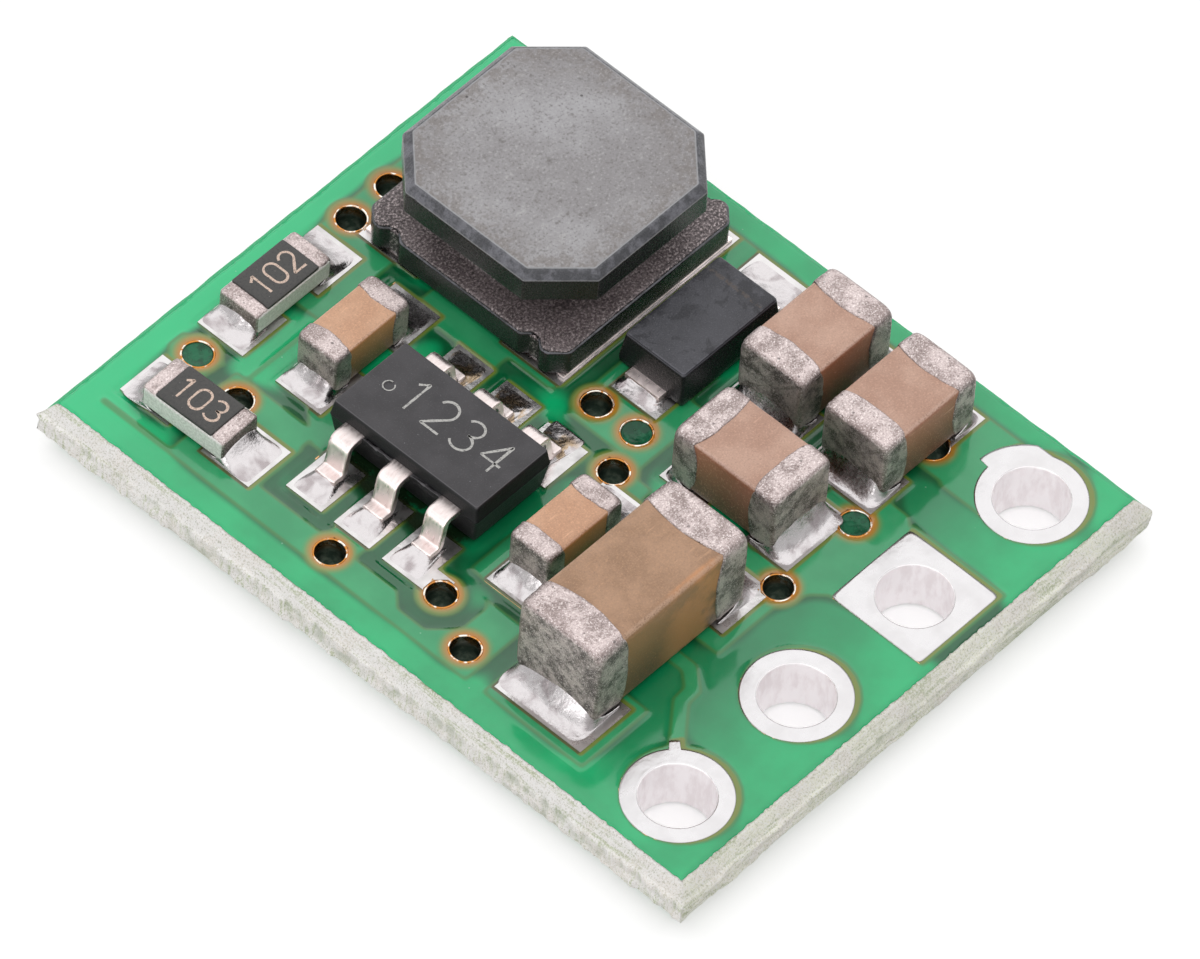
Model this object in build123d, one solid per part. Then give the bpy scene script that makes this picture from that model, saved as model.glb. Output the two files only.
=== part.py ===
from build123d import *
from math import atan2, degrees
import os

# Buck converter module, in mm. X runs along the row of pin holes, Y from that row to the
# inductor, Z up. The origin is under the middle of the board, on the plane it rests on.

# Board: 0.4 by 0.5 inch, snapped out of a panel along V-shaped score lines.
pin_pitch = 2.54
pin_count = 4
board_width = 4 * pin_pitch
board_length = 5 * pin_pitch
score_inset = 0.215
web_bulge = 0.05
web_share = 0.42
laminate_thickness = 0.84
copper_thickness = 0.035
mask_on_copper = 0.020
tin_thickness = 0.015
clearance = 0.27
mask_slip = 0.05

# Pin holes and vias.
pin_hole_radius = 0.57
pin_land_radius = 0.84
square_land_side = 1.72
plating_wall = 0.025
via_radius = 0.225
via_ring_radius = 0.36
via_lip = 0.035
plug_depth = 0.55
pin_sides = 24
via_sides = 8

# Chip parts: nominal case sizes and the lands they are soldered to.
small_length, small_width, small_height = 1.60, 0.80, 0.80
medium_length, medium_width, medium_height = 2.00, 1.25, 1.15
large_length, large_width, large_height = 3.20, 1.58, 1.60
small_band, medium_band, large_band = 0.33, 0.45, 0.60
small_land, medium_land, large_land = 0.95, 0.85, 1.08
small_span, medium_span, large_span = 2.56, 2.50, 4.10
land_margin = 0.05
metal_wall = 0.02
chip_bevel = 0.06
resistor_height = 0.43
resistor_band = 0.25
coat_thickness = 0.03
solder_gap = 0.02
solder_steps = 6

# Regulator: a thin six-lead gull-wing case.
regulator_length = 2.90
regulator_width = 1.60
regulator_height = 0.90
regulator_standoff = 0.06
regulator_parting = 0.60
regulator_draft = 8.0
dimple_radius = 0.12
lead_pitch = 0.95
lead_width = 0.38
lead_thickness = 0.12
lead_span = 2.80
lead_root = 0.30
lead_shoulder = 0.27
lead_foot = 0.22
regulator_land_span = 3.68
regulator_land_length = 0.95
regulator_land_width = 0.70

# Diode: a small moulded case with flat tabs under both ends.
diode_length = 2.16
diode_width = 1.28
diode_height = 0.66
diode_draft = 7.0
diode_tab = 0.12
tab_reach = 0.17
anode_length, anode_width = 0.50, 0.66
cathode_length, cathode_width = 1.38, 0.90
cathode_joint = 0.65
diode_land_length = 0.80

# Inductor: a drum core with a winding under resin.
inductor_side = 3.95
inductor_height = 1.80
inductor_base = 0.46
inductor_flange = 0.58
inductor_post_radius = 0.95
winding_radius = 1.42
resin_wall = 0.08
resin_skin = 0.04
core_corner = 0.25
core_cut = 0.78
core_bevel = 0.13
notch_depth = 0.12
notch_length = 0.42
terminal_width = 1.10
terminal_thickness = 0.04

# Levels of the layers, from the resting plane up.
laminate_bottom = mask_on_copper + copper_thickness
laminate_top = laminate_bottom + laminate_thickness
copper_top = laminate_top + copper_thickness
land_top = copper_top + tin_thickness
land_bottom = mask_on_copper - tin_thickness
mask_top_level = copper_top + mask_on_copper
seat = land_top + solder_gap

# Places on the board, as they were read off the photograph.
pin_row_y = -(board_length / 2 - pin_pitch / 2)
pin_xs = [(i - (pin_count - 1) / 2) * pin_pitch for i in range(pin_count)]
square_pin = 2
regulator_at = (-1.82, 1.44)
diode_at = (2.50, 0.26)
inductor_at = (2.44, 3.18)
ground_vias = [(-3.01, 4.31), (-4.10, 1.45), (-4.01, -1.13), (0.63, 5.46), (1.49, 5.46)]
middle_vias = [(-0.12, -0.45), (0.63, 0.57), (0.65, -0.20)]
front_vias = [(0.0, -3.57), (1.65, -3.57)]
output_vias = [(3.50, -3.43)]
bias_via = (-3.53, -0.21)
feedback_via = (-2.80, 5.31)
plugged_vias = [feedback_via, middle_vias[2], front_vias[1]]
vias = ground_vias + middle_vias + front_vias + output_vias + [bias_via, feedback_via]


class Chip:
    """A two-ended chip part: its lands' middle, how it lies, and its case size."""

    def __init__(self, name, at, size, turn=0, slip=(0, 0), skew=0):
        self.name = name
        self.at = at
        self.turn = turn
        self.slip = slip
        self.skew = skew
        sizes = {
            "small": (small_length, small_width, small_height, small_band, small_land, small_span),
            "medium": (medium_length, medium_width, medium_height, medium_band, medium_land, medium_span),
            "large": (large_length, large_width, large_height, large_band, large_land, large_span),
        }
        self.length, self.width, self.height, self.band, self.land, self.span = sizes[size]

    def frame(self):
        """The lands' own frame on the board."""
        return Pos(*self.at) * Rot(0, 0, self.turn)

    def seated(self):
        """The part's frame, with the small slip and skew it was soldered with."""
        return Pos(self.at[0] + self.slip[0], self.at[1] + self.slip[1]) * Rot(0, 0, self.turn + self.skew)

    def lands(self):
        """The two bare rectangles it is soldered to, in board coordinates."""
        middle = (self.span - self.land) / 2
        face = Rectangle(self.land, self.width + 2 * land_margin)
        return [self.frame() * Pos(side * middle, 0) * face for side in (-1, 1)]


capacitors = [
    Chip("capacitor_large", (-2.17, -2.73), "large", slip=(0.0, 0.09)),
    Chip("capacitor_upright", (0.97, -2.22), "medium", turn=90, slip=(0.0, 0.12)),
    Chip("capacitor_rear_right", (3.175, -1.29), "medium", slip=(0.08, 0.0)),
    Chip("capacitor_front_right", (3.175, -2.95), "medium", slip=(0.06, 0.0)),
    Chip("capacitor_by_regulator", (-1.08, 3.72), "small", slip=(-0.10, 0.03)),
    Chip("capacitor_middle", (-1.58, -0.93), "small", slip=(-0.11, 0.01)),
]
resistors = [
    Chip("resistor_rear", (-1.09, 5.27), "small", slip=(-0.09, 0.03)),
    Chip("resistor_left", (-3.62, 4.38), "small", turn=90, slip=(-0.04, 0.08), skew=1.0),
]


def rect(x0, x1, y0, y1):
    """A rectangle given by its sides."""
    return Pos((x0 + x1) / 2, (y0 + y1) / 2) * Rectangle(x1 - x0, y1 - y0)


def disc(at, radius):
    """A disc on the board, drawn with few sides because there are so many of them."""
    sides = pin_sides if radius > pin_hole_radius else via_sides
    return Pos(*at) * RegularPolygon(radius, sides, major_radius=False, rotation=180 / sides)


def outline(*corners):
    """A flat face from its corners."""
    return make_face(Polyline(*corners, close=True))


def slab(face, low, high):
    """A plate of the given face between two levels."""
    return extrude(Pos(0, 0, low) * face, amount=high - low)


def joined(shapes):
    """All the given shapes in one."""
    total = shapes[0]
    for shape in shapes[1:]:
        total = total + shape
    return total


def spaced(face):
    """A face with the gap round it that other copper keeps out of."""
    return offset(face, amount=clearance, kind=Kind.INTERSECTION)


def write(name, shape):
    """One node, which may hold several separate solids."""
    solids = shape.solids()
    export_step(solids[0] if len(solids) == 1 else Compound(children=solids), f"parts/{name}.step")


def grown(face, left=0, right=0, down=0, up=0):
    """The box round a face, moved out by so much on each side."""
    box = face.bounding_box()
    return rect(box.min.X - left, box.max.X + right, box.min.Y - down, box.max.Y + up)


def regulator_land(row, side):
    """The bare land of one lead: rows count down the board, sides are -1 and 1."""
    x = regulator_at[0] + side * (regulator_land_span - regulator_land_length) / 2
    y = regulator_at[1] + (1 - row) * lead_pitch
    return Pos(x, y) * Rectangle(regulator_land_length, regulator_land_width)


def diode_lands():
    """The diode's two bare lands; the one under its cathode end is the wider."""
    x, y = diode_at
    anode = rect(x - 1.48, x - 1.48 + diode_land_length, y - 0.50, y + 0.38)
    cathode = rect(x + 0.60, x + 1.88, y - 0.52, y + 0.52)
    return [anode, cathode]


def inductor_lands():
    """Two strips under the front and the back of the inductor's base."""
    x, y = inductor_at
    reach = inductor_side / 2 + 0.03
    half = inductor_side / 2 - 0.03
    front = rect(x - half, x + half, y - reach, y - reach + terminal_width + land_margin)
    back = rect(x - half, x + half, y + reach - terminal_width - land_margin, y + reach)
    return [front, back]


def regulator_tail():
    """The foot of bare copper that runs from the regulator's last land to the left."""
    box = regulator_land(2, 1).bounding_box()
    return rect(box.min.X - 0.12, box.max.X - 0.14, box.min.Y - 0.09, box.min.Y + 0.06)


def bias_land():
    """The regulator's third left-hand land, which runs down into a via."""
    box = regulator_land(2, -1).bounding_box()
    return rect(box.min.X, box.min.X + 0.42, bias_via[1], box.max.Y)


def lands_by_net():
    """Every bare land, grouped by what it is joined to."""
    large, upright, rear, front, small, middle = [chip.lands() for chip in capacitors]
    across, along = [chip.lands() for chip in resistors]
    diode = diode_lands()
    inductor = inductor_lands()
    shortened = grown(regulator_land(2, 1), right=-0.14)
    return {
        "ground": [along[0], across[1], regulator_land(1, -1), inductor[1]],
        "feedback": [along[1]],
        "divider": [across[0]],
        "boost": [small[0], regulator_land(0, -1)],
        "bias": [regulator_land(2, -1), bias_land()],
        "switch": [small[1], regulator_land(0, 1), inductor[0], diode[1]],
        "enable": [regulator_land(1, 1)],
        "input": [shortened, regulator_tail()],
        "middle": [middle[1], diode[0]],
        "small": [middle[0]],
        "left": [large[0]],
        "front": [large[1], upright[0], rear[0], front[0]],
        "upper": [upright[1]],
        "output": [rear[1], front[1]],
    }


def copper_land(land):
    """The copper of a land, which shows past the mask's edge on the right and below."""
    return grown(land, right=mask_slip, down=mask_slip)


def pin_copper(index):
    """The copper round one pin hole; one of them is square."""
    x, y = pin_xs[index] + mask_slip, pin_row_y - mask_slip / 2
    if index == square_pin:
        return Pos(x, y) * Rectangle(square_land_side + 2 * mask_slip, square_land_side + 2 * mask_slip)
    return disc((x, y), pin_land_radius + mask_slip)


def pin_opening(index):
    """The bare metal round one pin hole, as the mask leaves it."""
    x = pin_xs[index]
    if index == square_pin:
        return Pos(x - 0.01, pin_row_y) * Rectangle(square_land_side, square_land_side)
    face = disc((x, pin_row_y), pin_land_radius)
    if index == 0:
        face += Pos(x + 0.62, pin_row_y + 0.62) * Rot(0, 0, 45) * Rectangle(0.26, 0.17)
    if index == pin_count - 1:
        corner = rect(x, x + 0.79, pin_row_y, pin_row_y + 1)
        face += disc((x - 0.03, pin_row_y + 0.04), pin_land_radius + 0.14) & corner
    return face


def pours():
    """The wide areas of copper, before the gaps round their neighbours are cut."""
    edge = board_width / 2 - 0.65
    base = inductor_at[1] - inductor_side / 2
    left = capacitors[0].lands()[0]
    middle = capacitors[5].lands()[0]
    column = rect(-edge, -3.0, -1.52, 5.72) + rect(-3.4, -2.64, 3.05, 4.62)
    tongue = outline((-4.2, -0.7), (-3.3, -0.85), (-3.2, -1.0), (-3.3, -1.15), (-3.7, -1.52), (-4.2, -1.52))
    front = outline((-1.53, -3.79), (-0.3, -3.79), (0.2, -3.98), (0.45, -4.25), (2.1, -4.25), (2.3, -4.05),
                    (2.3, -2.9), (0.25, -2.9), (0.25, -1.85), (-1.53, -1.85))
    switch = [rect(0.33, edge, base - 0.02, base + 1.3), rect(0.02, 0.6, 2.0, 4.2), rect(2.9, edge, 0, base)]
    boost = outline((-3.0, 2.6), (-2.6, 2.6), (-2.0, 3.3), (-2.0, 3.6), (-2.3, 3.6), (-3.0, 2.85))
    enable = Polyline((-3.25, -4.55), (-2.52, -3.97), (-2.25, -3.95), (-1.99, -3.65), (-1.99, -3.2))
    return {
        "ground": [column, tongue, rect(-3.2, edge, 4.43, 5.72)],
        "middle": [rect(-0.40, 2.30, -1.10, base - 0.33)],
        "front": [front, rect(0.43, 2.1, pin_row_y, -4.0)],
        "output": [rect(3.04, edge + 0.05, pin_row_y, -0.60)],
        "switch": switch,
        "left": [grown(left, left=0.19, right=0.17, down=0.20, up=0.06)],
        "small": [grown(middle, left=0.05, right=0.05, down=0.05, up=0.31)],
        "boost": [boost],
        "feedback": [disc(feedback_via, via_ring_radius + 0.07), rect(-3.3, -2.8, 5.15, 5.45)],
        "enable": [trace(enable, 0.25)],
    }


def rings_by_net():
    """The copper rings of the vias and of the pin holes, by net."""
    groups = {"ground": ground_vias, "middle": middle_vias, "front": front_vias, "output": output_vias}
    rings = {net: [disc(at, via_ring_radius) for at in places] for net, places in groups.items()}
    rings["bias"] = [disc(bias_via, via_ring_radius)]
    rings["feedback"] = [disc(feedback_via, via_ring_radius)]
    rings["enable"] = [pin_copper(0)]
    rings["left"] = [pin_copper(1)]
    rings["front"].append(pin_copper(2))
    rings["output"].append(pin_copper(3))
    return rings


def copper_nets():
    """Each net's copper on the top face, with the gap to every other net cut out of its pours."""
    rings = rings_by_net()
    faces = {net: [copper_land(land) for land in lands] + rings.get(net, [])
             for net, lands in lands_by_net().items()}
    nets = {net: joined(own) for net, own in faces.items()}
    for net, areas in pours().items():
        others = [spaced(face) for other, own in faces.items() if other != net for face in own]
        nets[net] += joined(areas) - joined(others)
    return list(nets.values())


def hole_discs(extra):
    """All the drilled holes as discs, wider than the finished hole by the given amount."""
    pins = [disc((x, pin_row_y), pin_hole_radius + extra) for x in pin_xs]
    return joined(pins + [disc(at, via_radius + extra) for at in vias])


def top_sheet(inset=0):
    """The flat top or bottom face of the board inside its score lines."""
    margin = 2 * (score_inset + inset)
    return Rectangle(board_width - margin, board_length - margin)


def build_laminate():
    """The glass-fibre board: a broken web round the middle and a score groove above and below it."""
    web = laminate_thickness * web_share
    groove = (laminate_thickness - web) / 2
    slope = degrees(atan2(score_inset + web_bulge, groove))
    middle = laminate_bottom + groove + web / 2
    belt = Rectangle(board_width + 2 * web_bulge, board_length + 2 * web_bulge)
    upper = extrude(Pos(0, 0, middle + web / 2) * belt, amount=groove, taper=slope)
    lower = mirror(upper, Plane((0, 0, middle)))
    board = upper + lower + slab(belt, middle - web / 2, middle + web / 2)
    return board - slab(hole_discs(plating_wall), laminate_bottom, laminate_top)


def bottom_copper():
    """The back of the board: one pour, with gaps round the holes that aren't joined to it."""
    edge = 0.30
    pour = top_sheet(edge)
    apart = [pin_copper(i) for i in range(pin_count) if i != square_pin]
    apart += [disc(at, via_ring_radius) for at in output_vias + [bias_via, feedback_via]]
    for face in apart:
        pour -= spaced(face)
    joined_pin = pin_copper(square_pin)
    return [pour + joined_pin] + apart


def mask(copper, openings, face_level, outward):
    """A level skin of lacquer over laminate and copper, open over every bare land."""
    covered = top_sheet() - openings
    skin = slab(covered, face_level, face_level + (copper_thickness + mask_on_copper) * outward)
    return skin - slab(copper, face_level, face_level + copper_thickness * outward)


def pin_plating(index):
    """The plated barrel of one pin hole with its tinned ring on each face."""
    at = (pin_xs[index], pin_row_y)
    hole = Pos(*at) * Circle(pin_hole_radius)
    ring = pin_opening(index) & pin_copper(index)
    wall = slab(disc(at, pin_hole_radius + plating_wall), land_bottom, land_top)
    rings = slab(ring, copper_top, land_top) + slab(ring, land_bottom, mask_on_copper)
    return wall + rings - slab(hole, 0, land_top + 1)


def via_barrel(at):
    """The plated wall of one via with a narrow bare lip."""
    wall = slab(disc(at, via_radius + plating_wall), mask_on_copper, copper_top)
    lip = slab(disc(at, via_radius + via_lip), copper_top, land_top)
    return wall + lip - slab(disc(at, via_radius), 0, land_top + 1)


def chip_block(chip, height, shrink=0.0, bevel=0.0):
    """The chip's outer box, standing on its seat, or the same box smaller all round."""
    box = Box(chip.length - 2 * shrink, chip.width - 2 * shrink, height - 2 * shrink)
    if bevel:
        box = chamfer(box.edges(), bevel)
    return Pos(0, 0, seat + height / 2) * box


def build_capacitor(chip):
    """The ceramic block and the two metal end caps that stand proud of it."""
    block = chip_block(chip, chip.height, metal_wall, chip_bevel - metal_wall / 2)
    outer = chip_block(chip, chip.height, 0, chip_bevel)
    middle = Pos(0, 0, seat + chip.height / 2) * Box(chip.length - 2 * chip.band, 9, 9)
    caps = outer - middle - block
    return chip.seated() * block, chip.seated() * caps


def build_resistor(chip):
    """The ceramic chip, the black coat on its top and the metal wrapped round its ends."""
    ceramic = chip_block(chip, resistor_height, metal_wall)
    whole = chip_block(chip, resistor_height)
    middle = Pos(0, 0, seat + resistor_height / 2) * Box(chip.length - 2 * resistor_band, 9, 9)
    coat_length = chip.length - 2 * resistor_band
    coat = Pos(0, 0, seat + resistor_height - metal_wall + coat_thickness / 2) * Box(
        coat_length, chip.width - 2 * metal_wall, coat_thickness)
    ends = (whole - middle - ceramic) & Pos(0, 0, seat) * Box(9, chip.width - 2 * metal_wall, 9)
    return [chip.seated() * shape for shape in (ceramic, coat, ends)]


def solder_joint(chip, height):
    """Solder under both ends of a chip and up its end faces in a hollow curve."""
    climb = height * 0.55
    joints = []
    for side in (-1, 1):
        land = (chip.span - chip.land) / 2 * side
        slip = Vector(*chip.slip).rotate(Axis.Z, -chip.turn)
        cap = (chip.length / 2) * side + slip.X
        outer = land + chip.land / 2 * side
        foot = cap - side * chip.band
        steps = [i / solder_steps for i in range(solder_steps + 1)]
        hollow = [(outer + (cap - outer) * t, land_top + climb * t ** 2.2) for t in steps]
        profile = Plane.XZ * outline(*hollow, (cap, seat), (foot, seat), (foot, land_top))
        joints.append(extrude(profile, amount=chip.width / 2 - metal_wall, both=True))
    return chip.frame() * joined(joints)


def drafted_block(length, width, low, parting, high, draft):
    """A moulded block, widest at its parting line and drawn in above and below it."""
    face = Rectangle(width, length)
    above = extrude(Pos(0, 0, parting) * face, amount=high - parting, taper=draft)
    below = extrude(Pos(0, 0, parting) * face, amount=parting - low, taper=draft, dir=(0, 0, -1))
    return above + below


def regulator_lead(row, side):
    """One gull-wing lead: root in the mould, shoulder, S-bend and foot."""
    half = regulator_width / 2
    top = seat + regulator_parting
    foot = seat + lead_thickness / 2
    tip = lead_span / 2
    bend = lead_thickness / 2
    shoulder = half + lead_shoulder
    heel = tip - lead_foot
    path = Polyline((half - lead_root, top), (shoulder - bend, top), (shoulder + bend / 3, top - bend),
                    (heel - bend / 3, foot + bend), (heel + bend, foot), (tip, foot))
    ribbon = Plane.XZ * trace(path, lead_thickness)
    lead = extrude(ribbon, amount=lead_width / 2, both=True)
    turned = lead if side > 0 else mirror(lead, Plane.YZ)
    return Pos(regulator_at[0], regulator_at[1] + (1 - row) * lead_pitch) * turned


def toed_joint(end, side, length, width, reach, climb):
    """Solder under the last stretch of a flat terminal, with a wedge past its end face."""
    x, y = end
    under = Pos(x - side * length / 2, y, (land_top + seat) / 2) * Box(length, width, solder_gap)
    corners = [(x, land_top), (x + side * reach, land_top), (x, land_top + climb)]
    wedge = Plane.XZ * outline(*corners)
    return under + Pos(0, y, 0) * extrude(wedge, amount=width / 2, both=True)


def regulator_solder(row, side):
    """The joint of one lead's foot."""
    end = (regulator_at[0] + side * lead_span / 2, regulator_at[1] + (1 - row) * lead_pitch)
    reach = lead_thickness * 1.2
    climb = solder_gap + lead_thickness * 0.7
    return toed_joint(end, side, lead_foot, lead_width, reach, climb)


def build_regulator():
    """The moulded case with its pin-one dimple, the flash between its leads, and the die inside."""
    low = seat + regulator_standoff
    case = drafted_block(regulator_length, regulator_width, low, seat + regulator_parting,
                         seat + regulator_height, regulator_draft)
    flash = Pos(0, 0, seat + regulator_parting) * Box(
        regulator_width + 0.12, 2 * lead_pitch, lead_thickness)
    mark = slab(disc((0.0, regulator_length / 2 - 0.42), dimple_radius), seat + regulator_height - 0.03,
                seat + regulator_height)
    die = Pos(0, 0, seat + 0.33) * Box(0.90, 1.30, 0.20)
    case = Pos(*regulator_at) * (case + flash - mark)
    return case, Pos(*regulator_at) * die


def build_diode():
    """The moulded case, its two tabs with their solder, and the die on the cathode's tab."""
    low, parting, high = seat + 0.01, seat + diode_tab, seat + diode_height
    case = drafted_block(diode_width, diode_length, low, parting, high, diode_draft)
    end = diode_length / 2 + tab_reach
    middle = seat + diode_tab / 2
    anode = Pos(-end + anode_length / 2, 0, middle) * Box(anode_length, anode_width, diode_tab)
    cathode = Pos(end - cathode_length / 2, 0, middle) * Box(cathode_length, cathode_width, diode_tab)
    die = Pos(0.40, 0, seat + diode_tab + 0.10) * Box(0.80, 0.70, 0.20)
    solder = toed_joint((-end, 0), -1, anode_length, anode_width, 0.12, 0.09)
    solder += toed_joint((end, 0), 1, cathode_joint, cathode_width, 0.40, 0.09)
    return [Pos(*diode_at) * shape for shape in (case, anode, cathode, die, solder)]


def octagon(side, cut):
    """A square with its corners cut off."""
    half = side / 2
    points = []
    for sx, sy in ((-1, -1), (1, -1), (1, 1), (-1, 1)):
        pair = [(sx * half, sy * (half - cut)), (sx * (half - cut), sy * half)]
        points += pair if sx * sy > 0 else pair[::-1]
    return outline(*points)


def core_base_face(inset=0.0):
    """The square base with cut corners and a notch for the wire near each end of two sides."""
    side = inductor_side - 2 * inset
    face = octagon(side, core_corner)
    for sx in (-1, 1):
        for sy in (-1, 1):
            y = sy * (inductor_side / 2 - 0.55)
            notch = Rectangle(2 * notch_depth + 2 * inset, notch_length)
            face -= Pos(sx * inductor_side / 2, y) * chamfer(notch.vertices(), notch_depth / 3)
    return face


def build_inductor():
    """Drum core, winding on its post, resin over both, and a soldered metal strip under each end."""
    place = Pos(*inductor_at)
    low = seat + terminal_thickness
    base_top = low + inductor_base
    top = seat + inductor_height
    flange_low = top - inductor_flange
    flange = slab(octagon(inductor_side - 0.05, core_cut), flange_low, top - core_bevel)
    crown = extrude(Pos(0, 0, top - core_bevel) * octagon(inductor_side - 0.05, core_cut),
                    amount=core_bevel, taper=45)
    centre = (0, 0)
    post = slab(disc(centre, inductor_post_radius), base_top, flange_low)
    core = slab(core_base_face(), low, base_top) + post + flange + crown
    ring = disc(centre, winding_radius) - disc(centre, inductor_post_radius)
    winding = slab(ring, base_top + resin_skin, flange_low)
    skin = slab(core_base_face(0.05) - disc(centre, inductor_post_radius), base_top, base_top + resin_skin)
    wall = disc(centre, winding_radius + resin_wall) - disc(centre, winding_radius)
    collar = slab(wall, base_top + resin_skin, flange_low)
    y = inductor_side / 2 - terminal_width / 2 - 0.01
    strip = Box(inductor_side - 0.3, terminal_width, terminal_thickness)
    strips = [Pos(0, side * y, seat + terminal_thickness / 2) * strip for side in (-1, 1)]
    joint = Box(inductor_side - 0.3, terminal_width, solder_gap)
    joints = joined([Pos(0, side * y, (land_top + seat) / 2) * joint for side in (-1, 1)])
    return [place * shape for shape in (core, winding, skin + collar, joints, *strips)]


def main():
    """Writes every node to its own file."""
    os.makedirs("parts", exist_ok=True)
    nets = copper_nets()
    copper = joined(nets)
    drilled = hole_discs(plating_wall)
    bare = [land for faces in lands_by_net().values() for land in faces]
    moats = [grown(land, left=mask_slip, up=mask_slip) for land in bare]
    lips = [disc(at, via_radius + via_lip) for at in vias]
    pins = [pin_opening(i) for i in range(pin_count)]

    write("laminate", build_laminate())
    write("copper_top", slab(copper - drilled, laminate_top, copper_top))
    back = joined(bottom_copper())
    write("copper_bottom", slab(back - drilled, mask_on_copper, laminate_bottom))
    write("mask_top", mask(copper, joined(moats + lips + pins), laminate_top, 1))
    back_openings = joined(pins + lips)
    write("mask_bottom", mask(back, back_openings, laminate_bottom, -1))
    tinned = (joined(bare) & copper) - drilled - joined(lips)
    write("land_tinning", slab(tinned, copper_top, land_top))
    for i in range(pin_count):
        write(f"pin_hole_plating_{i + 1}", pin_plating(i))
    write("via_barrels", joined([via_barrel(at) for at in vias]))
    plug_top = land_top - 0.03
    plugs = [slab(disc(at, via_radius), plug_top - plug_depth, plug_top) for at in plugged_vias]
    write("via_plugs", joined(plugs))

    for chip in capacitors:
        block, caps = build_capacitor(chip)
        write(f"{chip.name}_block", block)
        write(f"{chip.name}_end_caps", caps)
        write(f"{chip.name}_solder", solder_joint(chip, chip.height))
    for chip in resistors:
        ceramic, coat, ends = build_resistor(chip)
        write(f"{chip.name}_ceramic", ceramic)
        write(f"{chip.name}_coat", coat)
        write(f"{chip.name}_end_caps", ends)
        write(f"{chip.name}_solder", solder_joint(chip, resistor_height) - ends)

    case, die = build_regulator()
    rows = [(row, side) for side in (-1, 1) for row in range(3)]
    leads = [regulator_lead(row, side) for row, side in rows]
    write("regulator_case", case - joined(leads) - die)
    write("regulator_die", die)
    for number, lead in enumerate(leads, 1):
        write(f"regulator_lead_{number}", lead)
    write("regulator_solder", joined([regulator_solder(row, side) for row, side in rows]))

    case, anode, cathode, die, solder = build_diode()
    write("diode_case", case - anode - cathode - die)
    write("diode_anode_tab", anode)
    write("diode_cathode_tab", cathode)
    write("diode_die", die)
    write("diode_solder", solder)

    core, winding, resin, solder, front_strip, back_strip = build_inductor()
    write("inductor_core", core)
    write("inductor_winding", winding)
    write("inductor_resin", resin)
    write("inductor_solder", solder)
    write("inductor_terminal_front", front_strip)
    write("inductor_terminal_back", back_strip)


main()
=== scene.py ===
import bpy
import numpy as np
from mathutils import Matrix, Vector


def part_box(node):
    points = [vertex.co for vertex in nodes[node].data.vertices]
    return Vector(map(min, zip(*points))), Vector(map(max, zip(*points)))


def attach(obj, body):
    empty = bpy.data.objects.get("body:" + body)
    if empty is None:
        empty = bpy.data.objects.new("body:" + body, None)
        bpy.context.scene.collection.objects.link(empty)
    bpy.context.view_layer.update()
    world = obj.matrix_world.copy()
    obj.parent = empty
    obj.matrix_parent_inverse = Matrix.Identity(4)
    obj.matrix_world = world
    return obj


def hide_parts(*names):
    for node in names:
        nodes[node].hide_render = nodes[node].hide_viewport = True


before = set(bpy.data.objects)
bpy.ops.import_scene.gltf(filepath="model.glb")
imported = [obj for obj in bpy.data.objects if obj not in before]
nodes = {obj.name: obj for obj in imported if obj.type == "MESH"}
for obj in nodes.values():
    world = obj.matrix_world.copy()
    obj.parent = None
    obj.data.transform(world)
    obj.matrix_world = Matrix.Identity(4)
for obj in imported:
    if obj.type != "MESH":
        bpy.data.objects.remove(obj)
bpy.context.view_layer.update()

# Glass-fibre laminate. The board was snapped out of a panel along V-shaped score lines, so its
# edge is a smooth slanted cut above and below a torn web, with fibre ends standing out of the resin.
# It is one closed belt round the board; lacquer and copper cover the rest.
mm = 0.001
board_half = (5.08, 6.35)
laminate_low, laminate_high = (corner.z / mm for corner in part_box("laminate"))
copper_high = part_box("copper_top")[1].z / mm
land_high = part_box("land_tinning")[1].z / mm
mask_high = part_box("mask_top")[1].z / mm
groove = 0.244
score_inset = 0.215
web_reach = 0.045
chance = np.random.default_rng(7)


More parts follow.
